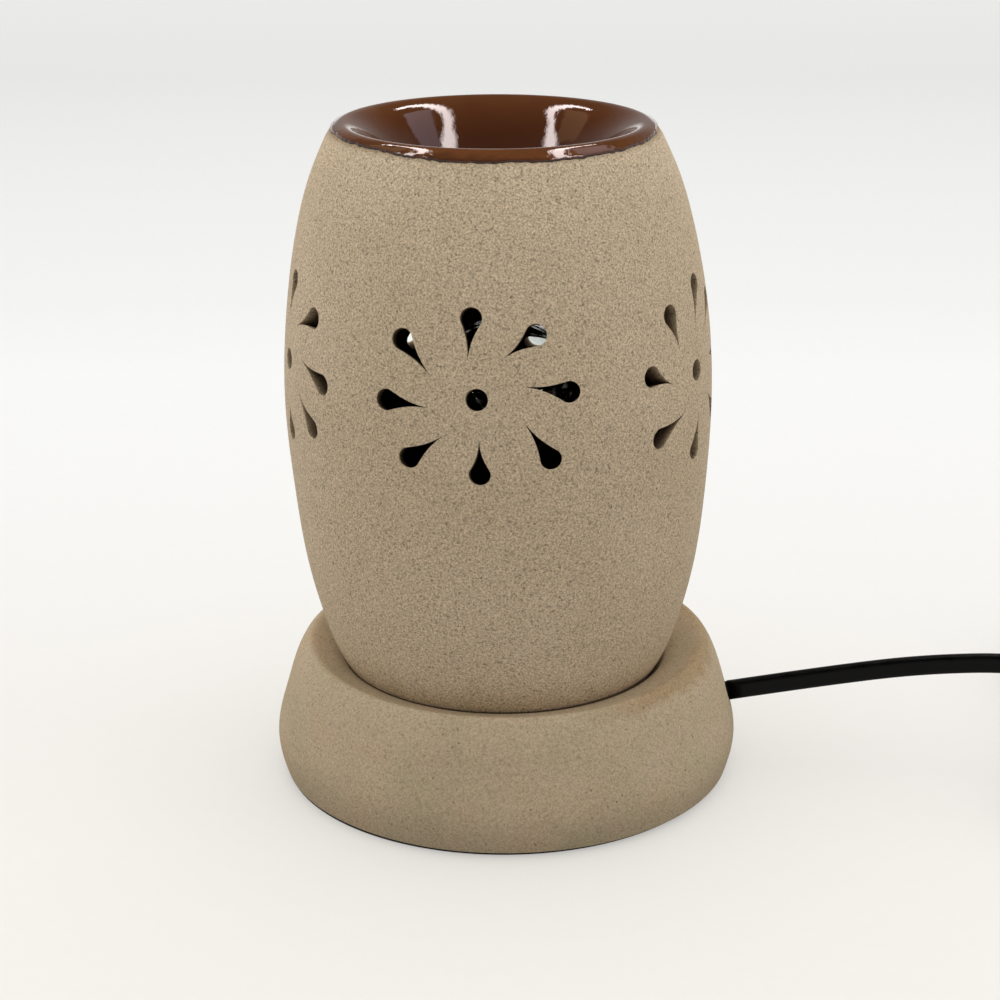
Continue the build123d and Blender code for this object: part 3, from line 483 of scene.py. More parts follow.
# %% The smoother stoneware of the base, with pinkish and greenish clouds and one darker brush mark
mark_r = 0.0560  # of the brush mark along the crest, on the right
base_clay, tree, shader, clay, place = stoneware(
    "smooth_stoneware", "beac92", "baa88d", "b5a389", 0.00055, 0.78, 1.21, 0.18,
)
clouds = noise(tree, place, 0.016, 2.0, 0.5)
clouds = ramp(tree, clouds, [(0.36, "f9fbf5"), (0.5, "fefdfb"), (0.64, "fffaf6")])
clay = mixed(tree, 1.0, clay, clouds, "MULTIPLY")
axes = axes_of(tree, place)
off_crest = maths(tree, "ABSOLUTE", maths(tree, "SUBTRACT", off_axis(tree, axes), mark_r))
ragged = spread(tree, noise(tree, place, 0.005, 3.0), 0.3, 0.7, -0.0012, 0.0012)
mark = spread(tree, maths(tree, "ADD", off_crest, ragged), 0.0008, 0.0034, 0.55, 0.0)
mark = maths(tree, "MULTIPLY", mark, spread(tree, axes["X"], 0.018, 0.040))
mark = maths(tree, "MULTIPLY", mark, spread(tree, axes["Z"], 0.030, 0.0335))
clay = mixed(tree, mark, clay, mixed(tree, 1.0, clay, linear("cdbb98"), "MULTIPLY"))
tree.links.new(clay, shader.inputs["Base Color"])
print("clay of the base:", base_clay.name)

# %% [markdown]
# ## The barrel
# The barrel was thrown as one shell of clay with the dish in its top, and leans a little, as hand-made
# ware does. Here it is one turned skin, outside and inside, which the rosettes are cut out of.

# %% The profile of the barrel and its dish
seat_z, barrel_height, belly_r, clay_wall = 0.024, 0.1563, 0.05745, 0.0052
barrel_shares = np.array([
    (0.0, 0.667), (0.064, 0.7815), (0.141, 0.860), (0.243, 0.928), (0.384, 0.9765),
    (0.544, 1.0), (0.710, 0.968), (0.838, 0.9034), (0.921, 0.834), (0.980, 0.7615),
])
rim_r, dish_depth, dish_floor, foot_round = 0.0404, 0.025, 0.005, 0.0012
dish_shares = np.array([
    (1.052, 0.056), (1.0, 0.0), (0.916, 0.028), (0.824, 0.132), (0.748, 0.312),
    (0.690, 0.572), (0.605, 0.81), (0.43, 0.94), (0.22, 0.99), (0.0, 1.0),
])
crest_z = seat_z + barrel_height
barrel_outer = np.stack([barrel_shares[:, 1] * belly_r, seat_z + barrel_shares[:, 0] * barrel_height], -1)
dish_top = np.stack([dish_shares[:, 0] * rim_r, crest_z - dish_shares[:, 1] * dish_depth], -1)
dish_top = np.concatenate([barrel_outer[-1:], dish_top])


def beside(line, distance):
    """Points beside a line, square to it, on its right hand."""
    way = ways_along(line)
    return line + distance * np.stack([way[:, 1], -way[:, 0]], -1)


lean_at_seat, lean_by_rim = 0.0003, 0.0020


def lean_at(z):
    """How far the barrel leans towards -X at a height: a straight rise from the seat to the rim."""
    return lean_at_seat + lean_by_rim * np.clip((z - seat_z) / barrel_height, 0, 1.1)


def lean(grid):
    """The hand-made lean: x falls by what lean_at gives."""
    out = grid.copy()
    out[..., 0] -= lean_at(grid[..., 2])
    return out


def thrown(grid):
    """Slow unevenness of thrown clay, under 0.2 mm: a sum of three waves round and up, times r."""
    angle = np.arctan2(grid[..., 1], grid[..., 0])
    z = grid[..., 2]
    wave = 0.0016 * np.sin(2 * angle + 40 * z) + 0.0010 * np.sin(3 * angle - 90 * z + 1.1)
    wave += 0.0006 * np.sin(5 * angle + 140 * z + 2.3)
    out = grid.copy()
    out[..., :2] *= (1 + wave)[..., None]
    return lean(out)


outside = smooth_line(barrel_outer, 120)
top = smooth_line(dish_top, 46)
inside = smooth_line(barrel_outer[:-1] - [clay_wall, 0], 64)
under = beside(smooth_line(dish_top, 100)[43:], -dish_floor)[:-1]
under = under[under[:, 0] > 0.002][::4]
foot = np.array([
    (inside[0, 0] + foot_round, seat_z), (outside[0, 0] - foot_round, seat_z),
    (outside[0, 0] - foot_round / 3, seat_z + foot_round / 4),
])
barrel_profile = np.concatenate([
    [[0, under[-1, 1]]], under[::-1], inside[::-1][:-1], [inside[0] + [foot_round / 4, foot_round / 2]], foot,
    outside[1:], top[1:-1], [[0, top[-1, 1]]],
])
barrel = turned("barrel_clay", barrel_profile, 240, "barrel", thrown)
print("barrel skin:", len(barrel.data.polygons), "faces")

# %% [markdown]
# ## The rosettes
# Each rosette is a round hole with eight petals round it. A petal was cut with a round punch for its head
# and a knife for its tapering tail. The cutters are prisms pushed through the wall towards the axis, each
# square to the wall where it lies.

# %% The cutters of the rosettes
rosette_r, hole_r, head_r = 0.022, 0.0028, 0.00275
front_shares = [
    (-0.06, 0.905, -0.10, 0.44), (-0.88, 0.63, -0.53, 0.24), (-1.08, -0.08, -0.56, -0.12),
    (-0.80, -0.72, -0.38, -0.42), (0.02, -0.87, 0.02, -0.45), (0.83, -0.70, 0.53, -0.26),
    (1.06, 0.06, 0.54, 0.15), (0.68, 0.72, 0.31, 0.47),
]
right_shares = [
    (0.21, 0.98, 0.05, 0.49), (-0.53, 0.77, -0.39, 0.31), (-0.96, 0.14, -0.59, -0.03),
    (-0.85, -0.61, -0.33, -0.40), (-0.07, -0.95, 0.04, -0.50), (0.72, -0.66, 0.38, -0.35),
    (0.98, 0.0, 0.50, 0.05), (0.76, 0.70, 0.36, 0.38),
]
left_shares = [
    (0.0, 0.95, -0.11, 0.46), (-0.75, 0.66, -0.40, 0.31), (-0.98, -0.03, -0.50, -0.02),
    (-0.72, -0.70, -0.36, -0.38), (0.05, -0.86, 0.0, -0.50), (0.73, -0.65, 0.38, -0.29),
    (0.97, -0.07, 0.45, 0.12), (0.72, 0.66, 0.28, 0.47),
]
back_shares = [
    (0.02, 0.95, 0.0, 0.49), (-0.70, 0.70, -0.36, 0.36), (-1.0, 0.04, -0.51, 0.0),
    (-0.70, -0.68, -0.37, -0.35), (0.03, -0.88, 0.01, -0.46), (1.24, -0.58, 0.62, -0.29),
    (1.04, 0.05, 0.52, 0.04), (0.73, 0.70, 0.37, 0.34),
]
rear_shares = [
    *front_shares[:3], (-0.58, -0.86, -0.29, -0.46), (-0.06, -0.58, -0.03, -0.30), *front_shares[5:],
]
# Degrees from the front, height of the middle, slope of the knife in degrees, how far the knife turned to
# meet each petal squarely (1 is square to the wall), and the petals
rosettes = [
    (-5.2, 0.1222, 18, 0.2, front_shares), (64.1, 0.1204, 18, 1.1, right_shares),
    (140, 0.1224, 8, 1.0, back_shares), (208.5, 0.1224, 8, 1.0, rear_shares),
    (287.2, 0.1215, 18, 1.1, left_shares),
]
head_steps, tail_steps, hole_steps = 22, 7, 28
side_pull = 0.24                       # of the head's radius
knife_start, knife_depth = 0.004, 3 * clay_wall


def petal_outline(head, tip):
    """Round head and a tail whose sides draw in a little, then run to the tip. The head is an arc of r;
    a side is start + t (tip - start), drawn in by side_pull r sin(pi t)."""
    way = tip - head
    length, lean_angle = np.linalg.norm(way), math.atan2(way[1], way[0])
    open_angle = math.acos(head_r / length)
    a = lean_angle + np.linspace(open_angle, 2 * math.pi - open_angle, head_steps)
    arc = head + head_r * np.stack([np.cos(a), np.sin(a)], -1)
    t = (np.arange(1, tail_steps) / tail_steps)[:, None]
    inwards = np.array([-way[1], way[0]]) / length * side_pull * head_r * np.sin(math.pi * t)
    back = arc[-1] + t * (tip - arc[-1]) + inwards
    forth = tip + t * (arc[0] - tip) - inwards
    return np.concatenate([arc, back, [tip], forth])


def wall_prism(outline, angle, middle_z, knife_angle, tilt):
    """Prism of an outline (across, up) through the wall at an angle from the front: the same outline at
    two depths, r out + across side + up z + d way, where way slopes down inwards as the knife did."""
    out = np.array([math.sin(angle), -math.cos(angle), 0])
    side = np.array([math.cos(angle), math.sin(angle), 0])
    knife = np.array([math.sin(knife_angle), -math.cos(knife_angle), 0])
    way = knife * math.cos(tilt) + [0, 0, math.sin(tilt)]
    wall_r = np.interp(outline[:, 1:] + middle_z, barrel_outer[:, 1], barrel_outer[:, 0])
    flat = outline[:, :1] * side + (outline[:, 1:] + middle_z) * [0, 0, 1] + out * wall_r
    return np.concatenate([flat - knife_depth * way, flat + knife_start * way])


def prism_faces(n, first=0):
    """Sides and ends of a prism on n corners, whose points start at a number and run round each end."""
    k, after = first + np.arange(n), first + (np.arange(n) + 1) % n
    sides = np.stack([k, after, after + n, k + n], -1).tolist()
    return sides + [k[::-1].tolist(), (k + n).tolist()]


cut_points, cut_faces, count = [], [], 0
for degrees, middle_z, tilt, turned_share, shares in rosettes:
    middle_angle = math.radians(degrees)
    ring = turn_angles(hole_steps)
    outlines = [(np.stack([np.cos(ring), np.sin(ring)], -1) * hole_r, 0.0)]
    for share in shares:
        head, tip = np.array(share[:2]) * rosette_r, np.array(share[2:]) * rosette_r
        middle = (head[0] + tip[0]) / 2
        outlines.append((petal_outline(head - [middle, 0], tip - [middle, 0]), middle / belly_r))
    for outline, shift in outlines:
        knife_angle = middle_angle + turned_share * shift
        prism = lean(wall_prism(outline, middle_angle + shift, middle_z, knife_angle, math.radians(tilt)))
        cut_faces += prism_faces(len(outline), count)
        cut_points.append(prism)
        count += len(prism)
cutters = add_piece("cutters", np.concatenate(cut_points), cut_faces, None, smooth=False)


def cut(piece, tool):
    """Cuts a closed mesh out of a piece, applies the result, sharpens its edges and removes the tool."""
    step = piece.modifiers.new("cut", "BOOLEAN")
    step.object, step.operation, step.solver = tool, "DIFFERENCE", "MANIFOLD"
    graph = bpy.context.evaluated_depsgraph_get()
    mesh = bpy.data.meshes.new_from_object(piece.evaluated_get(graph))
    piece.modifiers.clear()
    old, piece.data = piece.data, mesh
    bpy.data.meshes.remove(old)
    bpy.data.objects.remove(tool)
    mesh.name = piece.name
    mesh.set_sharp_from_angle(angle=math.radians(40))


skin_depth = 0.0003  # the unevenness that still counts as skin


def depth_below_skin(spots):
    """Depth below the outside of the barrel in walls: r of the outside at z, less the distance from the
    leaning axis, over the wall."""
    x, y, z = spots.T
    r = np.hypot(x + lean_at(z), y)
    return (np.interp(z, outside[:, 1], outside[:, 0]) - skin_depth - r) / clay_wall


cut(barrel, cutters)
give_map(barrel, "depth", depth_below_skin)
wear(barrel, barrel_clay)
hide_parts("burner_body")
print("barrel with its rosettes:", len(barrel.data.polygons), "faces")

# %% [markdown]
# ## The glaze of the dish
# A thick, glossy chestnut glaze was poured over the dish and runs a little way down the outside, where it
# ends in a ragged line. It is thin and amber on the crest, and deep brown where it pooled.

# %% The coat of glaze
glaze_thick, edge_z, rim_lean, rim_over = 0.0004, 0.1781, 0.0022, 0.0021
edge_rise_run, bead_at, bead_half, bead_thick = 0.00022, 0.0009, 0.0005, 0.0001
below_clay, drop_seen = 0.0003, 0.004


def edge_height(angle):
    """Lower edge of the glaze: a mean height, a rise at the sides, and ten waves with seeded sizes and
    starts."""
    random = np.random.default_rng(7)
    waves = np.array([2, 3, 5, 9, 14, 23, 37, 61, 83, 117])
    sizes = np.array([0.20, 0.16, 0.14, 0.10, 0.08, 0.07, 0.05, 0.05, 0.04, 0.04])
    sizes = sizes * random.uniform(0.6, 1.2, 10)
    starts = random.uniform(0, 2 * math.pi, 10)
    sides = 0.4 * (1 + np.cos(2 * angle)) - 0.25 * np.cos(angle)
    waved = (sizes[:, None] * np.sin(waves[:, None] * angle + starts[:, None])).sum(0)
    return edge_z + 0.001 * (sides + waved)


def make_glaze(columns=720, rows=80):
    """Coat beside the clay's profile: at each angle the profile is cut at the edge's height, and the coat
    is glaze_thick (1 - exp(-rise / edge_rise_run)) and a bead thick there, and closes below the clay."""
    angle = turn_angles(columns)
    line = smooth_line(dish_top, 900)
    run = run_along(line)
    start = np.interp(edge_height(angle), line[:60, 1], run[:60])
    share = np.linspace(0, 1, rows) ** 1.35
    s = start + share[:, None] * (run[-1] - start)
    way = ways_along(line)
    r, z = (np.interp(s, run, line[:, k]) for k in range(2))
    out_r, out_z = np.interp(s, run, way[:, 1]), -np.interp(s, run, way[:, 0])
    rise = s - start
    bead = bead_thick * np.exp(-((rise - bead_at) / bead_half) ** 2)
    thick = glaze_thick * (1 - np.exp(-rise / edge_rise_run)) + bead
    r_coat, z_coat = r + out_r * thick, z + out_z * thick
    r_coat[-1] = 0
    low_r, low_z = (r - out_r * below_clay)[::6][::-1], (z - out_z * below_clay)[::6][::-1]
    low_r[0] = 0
    r_all, z_all = np.concatenate([r_coat, low_r]), np.concatenate([z_coat, low_z])
    grid = thrown(round_grid(r_all, z_all, columns))
    faces = grid_faces(len(r_all), columns, True, True)
    return add_piece("dish_coat", grid.reshape(-1, 3), faces, "barrel")


def edge_rise(spots):
    """Height above the ragged edge in units of drop_seen, and 1 inside the dish."""
    x, y, z = spots.T
    angle = np.arctan2(y, x + rim_lean)
    inner = np.clip((rim_r + rim_over - np.hypot(x + rim_lean, y)) / drop_seen, 0, 1)
    return np.clip((z - edge_height(angle)) / drop_seen, 0, 1) + inner


dish_coat = make_glaze()
give_map(dish_coat, "coat", edge_rise)
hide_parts("dish_glaze")

# %% The finish of the glaze
brown, tree, shader = finish("chestnut_glaze", Roughness=0.045, IOR=1.52)
place = own_place(tree)
axes = axes_of(tree, place)
drift = noise(tree, place, 0.012, 3.0, 0.6)
pooled = maths(tree, "ADD", off_axis(tree, axes), spread(tree, drift, 0.3, 0.7, -0.002, 0.002))
glaze_colour = ramp(tree, spread(tree, pooled, 0.024, 0.0435), [
    (0.0, "57301a"), (0.3, "542d18"), (0.55, "563019"), (0.80, "5d361c"), (0.93, "673d21"), (1.0, "58341d"),
])
ragged = spread(tree, noise(tree, place, 0.0012, 3.0), 0.3, 0.7, -0.06, 0.06)
uneven = maths(tree, "ADD", map_value(tree), ragged)
thin = ramp(tree, uneven, [(0.0, "6b4a3a"), (0.07, "8a6552"), (0.14, "d8c4b8"), (0.22, "ffffff")])
glaze_colour = mixed(tree, 1.0, glaze_colour, thin, "MULTIPLY")
tree.links.new(glaze_colour, shader.inputs["Base Color"])
tree.links.new(spread(tree, uneven, 0.03, 0.2, 0.6, 0.045), shader.inputs["Roughness"])
bump(tree, shader, noise(tree, place, 0.0016, 3.0), 0.22, 0.00012)
wear(dish_coat, brown)

# %% [markdown]
# ## The base ring
# The base is a smoother stoneware ring, hollow below, with a well for the barrel's foot. It stands on a
# thin black pad, which shows as a dark line under the clay.

# %% The base ring
pad_thick, base_r, base_top_z, base_wall, seat_gap = 0.001, 0.0642, 0.0369, 0.0055, 0.0009
lip_z, seat_thick, nipple_hole_r = 0.0326, 0.005, 0.0053
base_shares = np.array([
    (0.0, 0.972), (0.222, 1.0), (0.582, 0.9595), (0.859, 0.91), (0.945, 0.886), (1.0, 0.858),
])
base_outer = np.stack([
    base_shares[:, 1] * base_r, pad_thick + base_shares[:, 0] * (base_top_z - pad_thick),
], -1)
lip = np.array([np.interp(lip_z, barrel_outer[:, 1], barrel_outer[:, 0]) + seat_gap, lip_z])
slope = base_outer[-1] + np.array([(0.36, 0.38), (0.78, 0.84)]) * (lip - base_outer[-1])
well = np.array([barrel_outer[0, 0] + seat_gap, seat_z])
under_z = seat_z - seat_thick
hollow = np.array([
    (nipple_hole_r, seat_z), (nipple_hole_r, under_z), (well[0] + 0.7 * base_wall, under_z),
    (base_outer[3, 0] - base_wall, lip_z - 0.3 * base_wall),
    (base_outer[2, 0] - base_wall, base_outer[2, 1]), (base_outer[1, 0] - base_wall, base_outer[1, 1]),
    (base_outer[0, 0] - base_wall, pad_thick), (base_outer[0, 0], pad_thick),
])
skin = smooth_line(np.concatenate([base_outer, slope, [lip]]), 90)
base_profile = np.concatenate([skin[:-1], straight_line(np.concatenate([[lip, well], hollow]), 110)])
crest_drop, slope_rise, base_shift = 0.0010, 0.0009, 0.0006


def set_by_hand(grid):
    """Slow unevenness of the base, under 0.3 mm, a shift to the right, a crest that is lower in front, and a
    fuller slope inside it at the sides and back: z + slope_rise x half a sine wave across it."""
    angle = np.arctan2(grid[..., 1], grid[..., 0])
    r, z = np.hypot(grid[..., 0], grid[..., 1]), grid[..., 2]
    wave = 0.0020 * np.sin(2 * angle + 0.6) + 0.0016 * np.sin(3 * angle - 60 * z)
    wave += 0.0008 * np.sin(7 * angle + 2)
    out = grid.copy()
    share = np.clip((r - 0.045) / 0.012, 0, 1)
    out[..., :2] *= (1 + wave * share)[..., None]
    out[..., 0] += base_shift * share
    crest = np.clip((r - 0.0465) / 0.006, 0, 1) * np.clip((z - 0.026) / 0.009, 0, 1)
    out[..., 2] -= crest_drop * crest * np.clip(-grid[..., 1] / 0.05, 0, 1)
    across = np.clip((r - lip[0]) / (base_outer[-1, 0] - lip[0]), 0, 1)
    full = np.sin(math.pi * across) * np.clip((z - lip_z + 0.0008) / 0.0008, 0, 1)
    out[..., 2] += slope_rise * full * np.clip(1 + grid[..., 1] / 0.045, 0, 1)
    return out


base = turned("base_clay", base_profile, 240, "base", set_by_hand, closed=True)
print("base:", len(base.data.polygons), "faces before its hole is drilled")

# %% [markdown]
# ## The hole for the flex and its bush
# The flex leaves the base through a hole drilled a little upwards, in a black plastic bush with a flange
# inside. The bush is turned about the axis of the hole, and a slot in the shape of the flex is cut in it.

# %% The hole and the bush
exit_point, exit_slope = np.array([0.0633, 0, 0.019]), math.radians(9)
hole_turn = Matrix.Translation(exit_point) @ Matrix.Rotation(math.pi / 2 - exit_slope, 4, "Y")
bush_r, bush_gap, bush_in, bush_out, bush_round = 0.0046, 0.0002, -0.0086, -0.0016, 0.0003
flange_r, flange_thick = 0.0058, 0.0015
slot_wide, slot_thick = 1.03, 1.05  # times the flex


def along_hole(name, profile, columns, body, closed=False):
    """Turned about the axis of the flex's hole: height z of the profile runs outwards from the face."""
    piece = turned(name, profile, columns, body, closed=closed)
    piece.data.transform(hole_turn)
    return piece


drill_r = bush_r + bush_gap
cut(base, along_hole("drill", [(0, -0.012), (drill_r, -0.012), (drill_r, 0.006), (0, 0.006)], 64, None))
wear(base, base_clay)
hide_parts("base_ring")
print("base:", len(base.data.polygons), "faces")

# %% The bush and its slot
flange_out = bush_in + flange_thick
bush = along_hole("exit_bush", [
    (0.0004, bush_in), (flange_r - bush_round, bush_in), (flange_r, bush_in + bush_round),
    (flange_r, flange_out - bush_round), (flange_r - bush_round, flange_out), (bush_r, flange_out),
    (bush_r, bush_out - 0.0004), (bush_r - bush_round, bush_out), (0.0004, bush_out),
], 64, "base", True)
thick, wide = flex_section()
ring = np.stack([wide * slot_wide, -thick * slot_thick, np.zeros_like(wide)], -1)
slot_points = np.concatenate([ring + [0, 0, -0.02], ring + [0, 0, 0.01]])
slot = add_piece("slot", slot_points, prism_faces(len(ring)), None, smooth=False)
slot.data.transform(hole_turn @ Matrix.Rotation(math.pi / 2, 4, "Z"))
cut(bush, slot)
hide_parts("cord_bush")
print("bush:", len(bush.data.polygons), "faces")

# %% [markdown]
# ## The bulb
# A small clear bulb on a screwed cap stands in the lampholder, out of sight until the barrel is lifted.
# Its glass is a thin blown shell, and the thread of its cap is rolled into thin metal.

# %% Heights of the lampholder and the bulb
holder_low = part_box("holder_cap")[0]
glass_low, glass_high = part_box("bulb_glass")
cap_low, cap_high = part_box("bulb_cap")
shell_low, shell_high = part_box("holder_shell")
neck_z, bulb_top_z = glass_low.z, glass_high.z
print("bulb from", round(cap_low.z, 4), "to", round(bulb_top_z, 4))

# %% The glass
bulb_r, bulb_wall, neck_r = 0.0225, 0.0008, 0.0076
joined_at = 0.3  # radians above level, where the neck's line meets the circle
globe_z = bulb_top_z - bulb_r
neck_shares = np.array([(0.0, 0.0), (0.10, 0.30), (0.48, 0.62), (1.0, 1.0)])


def glass_line(inset, count):
    """Neck by a smooth line, then an arc to the pole: (r cos a, middle + r sin a)."""
    neck, wide = neck_r - inset, bulb_r - inset
    low = np.stack([
        neck + neck_shares[:, 0] * (wide - neck), neck_z + neck_shares[:, 1] * (globe_z - neck_z),
    ], -1)
    joint = [wide * math.cos(joined_at), globe_z + wide * math.sin(joined_at)]
    low = smooth_line(np.concatenate([low, [joint]]), count)
    a = np.linspace(joined_at, math.pi / 2, count)[1:]
    return np.concatenate([low, np.stack([wide * np.cos(a), globe_z + wide * np.sin(a)], -1)])


outer_glass, inner_glass = glass_line(0, 36), glass_line(bulb_wall, 36)
outer_glass[-1, 0] = inner_glass[-1, 0] = 0
glass = turned("bulb_globe", np.concatenate([outer_glass[::-1], inner_glass]), 96, "bulb")
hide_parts("bulb_glass")

# %% The screwed cap
thread_pitch, thread_depth, thread_r, thread_steps = 0.00282, 0.0007, 0.0069, 14  # steps in each turn
cap_wall, skirt_rise = 0.0004, 0.004


def make_thread(name, low, high, foot, skirt, body, columns=96):
    """Rolled round thread: r = radius - depth (1 - cos(2 pi z / pitch - a)) / 2 between low and high, held
    smooth over the first and last half pitch, with the inside a wall further in. foot and skirt are (r, z)
    below and above it."""
    z = np.linspace(low, high, int((high - low) / thread_pitch * thread_steps))
    wave = (1 - np.cos(2 * math.pi * z[:, None] / thread_pitch - turn_angles(columns))) / 2
    fade = np.clip(np.minimum(z - low, high - z) / (thread_pitch / 2), 0, 1)[:, None]
    r = thread_r - thread_depth * (wave * fade + (1 - fade))
    foot, skirt = np.array(foot), np.array(skirt)
    r = np.concatenate([np.repeat(foot[:, :1], columns, 1), r, np.repeat(skirt[:, :1], columns, 1)])
    heights = np.concatenate([foot[:, 1], z, skirt[:, 1]])
    r_all, z_all = np.concatenate([r, r[::-1] - cap_wall]), np.concatenate([heights, heights[::-1]])
    grid = round_grid(r_all, z_all[:, None], columns)
    return add_piece(name, grid.reshape(-1, 3), grid_faces(len(r_all), columns, True, True), body)


skirt_z = cap_high.z - skirt_rise
cap = make_thread("bulb_screw_cap", cap_low.z + 0.001, skirt_z - 0.0008, [(0.0059, cap_low.z)], [
    (0.0064, skirt_z - 0.0002), (0.0082, skirt_z + 0.0018), (0.0085, skirt_z + 0.0024), (0.0085, cap_high.z),
], "bulb")
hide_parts("bulb_cap")
print("cap of the bulb:", len(cap.data.polygons), "faces")

# %% The lampholder
holder_r, neck_in_r, core_r, ledge_r, mouth_r, nipple_r = 0.014, 0.0126, 0.01105, 0.0102, 0.0079, 0.00505
neck_gap, groove_deep = 0.00005, 0.00045


def soft_turned(name, corners, low_z, radius, columns=96):
    """Turned piece standing at low_z, whose outline's corners are rounded by a bevel of that width."""
    piece = turned(name, np.array(corners) + [0, low_z], columns, "base", closed=True)
    step = piece.modifiers.new("rounded", "BEVEL")
    step.width, step.segments, step.limit_method, step.angle_limit = radius, 3, "ANGLE", math.radians(35)
    piece.data.set_sharp_from_angle(angle=math.radians(50))
    return piece


shell_rise, groove_r = shell_high.z - shell_low.z, holder_r - groove_deep
shell = soft_turned("lampholder_shell", [
    (neck_in_r + neck_gap, 0), (holder_r, 0), (holder_r, 0.009), (groove_r, 0.0096), (groove_r, 0.0108),
    (holder_r, 0.0114), (holder_r, shell_rise - 0.0022), (0.0131, shell_rise), (mouth_r, shell_rise),
    (mouth_r, 0.0115), (core_r, 0.0115), (core_r, 0.0061), (neck_in_r + neck_gap, 0.0061),
], shell_low.z, 0.0003)
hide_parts("holder_shell")
holder_cap = soft_turned("lampholder_cap", [
    (nipple_r, 0), (0.008, 0), (0.008, 0.002), (0.0107, 0.0031), (0.0129, 0.0053), (holder_r, 0.008),
    (holder_r, 0.019), (neck_in_r, 0.019), (neck_in_r, 0.025), (core_r, 0.025), (core_r, 0.016),
    (ledge_r, 0.016), (ledge_r, 0.008), (nipple_r, 0.008),
], holder_low.z, 0.0004)
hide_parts("holder_cap")
print("lampholder from", round(holder_low.z, 4), "to", round(shell_high.z, 4))

# %% [markdown]
# ## Finishes of the small pieces
# The lampholder is black bakelite, the core white porcelain, the contacts brass, the bulb's cap nickel on
# brass, the flex and its plug black PVC. Each gets a little grain, so that no surface is one flat colour.

# %% Grained finishes
def grained(name, dark, light, size, roughness, bump_height=0.0, vary=0.08, metallic=0.0, **sockets):
    """Colour between two tones by fine noise, roughness varied a little, and an optional fine bump."""
    material, tree, shader = finish(name, Metallic=metallic, **sockets)
    place = own_place(tree)
    grain = noise(tree, place, size, 4.0, 0.6)
    tree.links.new(ramp(tree, grain, [(0.35, dark), (0.65, light)]), shader.inputs["Base Color"])
    rough = noise(tree, place, size * 6, 3.0)
    rough = spread(tree, rough, 0.3, 0.7, roughness - vary / 2, roughness + vary / 2)
    tree.links.new(rough, shader.inputs["Roughness"])
    if bump_height:
        bump(tree, shader, grain, 0.5, bump_height)
    return material


bakelite = grained("moulded_bakelite", "17120f", "241c17", 0.0012, 0.24, IOR=1.6)
porcelain = grained("glazed_porcelain", "dcd9cf", "ebe9e1", 0.002, 0.16, IOR=1.5)
brass = grained("stamped_brass", "a8843e", "c9a560", 0.0008, 0.3, 0.00003, metallic=1.0)
nickel = grained("nickel_plate", "a9a7a1", "c9c7c1", 0.0009, 0.28, 0.00003, metallic=1.0)
zinc = grained("zinc_plated_steel", "9ea3a8", "c3c7ca", 0.0015, 0.36, 0.00003, metallic=1.0)
solder = grained("soldered_tip", "8b8b88", "b3b3ae", 0.0006, 0.42, 0.00006, metallic=1.0)
enamel = grained("black_vitreous_glass", "08080b", "15151a", 0.0015, 0.12, IOR=1.6)
tungsten = grained("tungsten_wire", "4a4846", "6b6966", 0.0003, 0.5, metallic=1.0)
fibre = grained("pressed_fibre", "6a3a26", "8a5236", 0.0006, 0.8, 0.00005)
nylon = grained("black_nylon", "0b0b0c", "151516", 0.0012, 0.42, Specular_IOR_Level=0.3)
plastic = grained(
    "moulded_black_plastic", "0a0a0b", "131314", 0.0007, 0.42, 0.00004, Specular_IOR_Level=0.3,
)
pad_foam = grained("black_foam_pad", "101010", "1c1b1a", 0.0009, 0.9, 0.0001)
brown_pvc = grained("brown_pvc", "4a2b18", "5c3820", 0.002, 0.4)
blue_pvc = grained("blue_pvc", "2356a0", "3068b8", 0.002, 0.4)

# %% The flex's sheath
sheath, tree, shader = finish("black_pvc_sheath", IOR=1.53, Specular_IOR_Level=0.10)
place = own_place(tree)
smear = noise(tree, place, 0.004, 3.0, 0.6)
tree.links.new(ramp(tree, smear, [(0.3, "030303"), (0.7, "080808")]), shader.inputs["Base Color"])
tree.links.new(spread(tree, smear, 0.3, 0.7, 0.26, 0.38), shader.inputs["Roughness"])

# %% Clear glass
clear, tree, shader = finish("clear_bulb_glass", Roughness=0.0, IOR=1.5, Transmission_Weight=1.0)
place = own_place(tree)
tint = noise(tree, place, 0.02, 2.0)
tree.links.new(ramp(tree, tint, [(0.3, "f4f7f4"), (0.7, "fbfcfa")]), shader.inputs["Base Color"])

# %% Each piece puts on its finish
wear(glass, clear)
wear(cap, nickel)
wear(shell, bakelite)
wear(holder_cap, bakelite)
wear(bush, plastic)
wear(flex_lead, sheath)
wear(flex_rest, sheath)
dressed = {
    pad_foam: ["base_pad"], fibre: ["fibre_washer"], porcelain: ["holder_core"],
    zinc: ["steel_washer", "holder_nut", "holder_nipple", "rocker_pin", "switch_screws"],
    brass: ["terminal_screws", "centre_contact", "side_contact", "switch_contacts"],
    enamel: ["bulb_insulator"], solder: ["bulb_tip"], clear: ["bulb_stem"], tungsten: ["bulb_filament"],
    nickel: ["bulb_leads", "plug_pins"], sheath: ["inner_cord"], nylon: ["cord_stop", "coil_tie"],
    plastic: ["switch_lower", "switch_upper", "switch_rocker", "plug_boot", "plug_body"],
    brown_pvc: ["live_wire"], blue_pvc: ["neutral_wire"],
}
for material, names in dressed.items():
    for name in names:
        wear(nodes[name], material)
print("dressed nodes:", sum(len(names) for names in dressed.values()))

# %% [markdown]
# ## The floor and the light
# The burner stands on a pale sheet of paper. Two long tubes overhead, one each side, and a dim panel
# outside each are seen only in reflections: they are the bright bars in the glaze. The room lights the
# clay evenly, brighter from behind, and a wide soft lamp above adds a faint shadow on the floor.

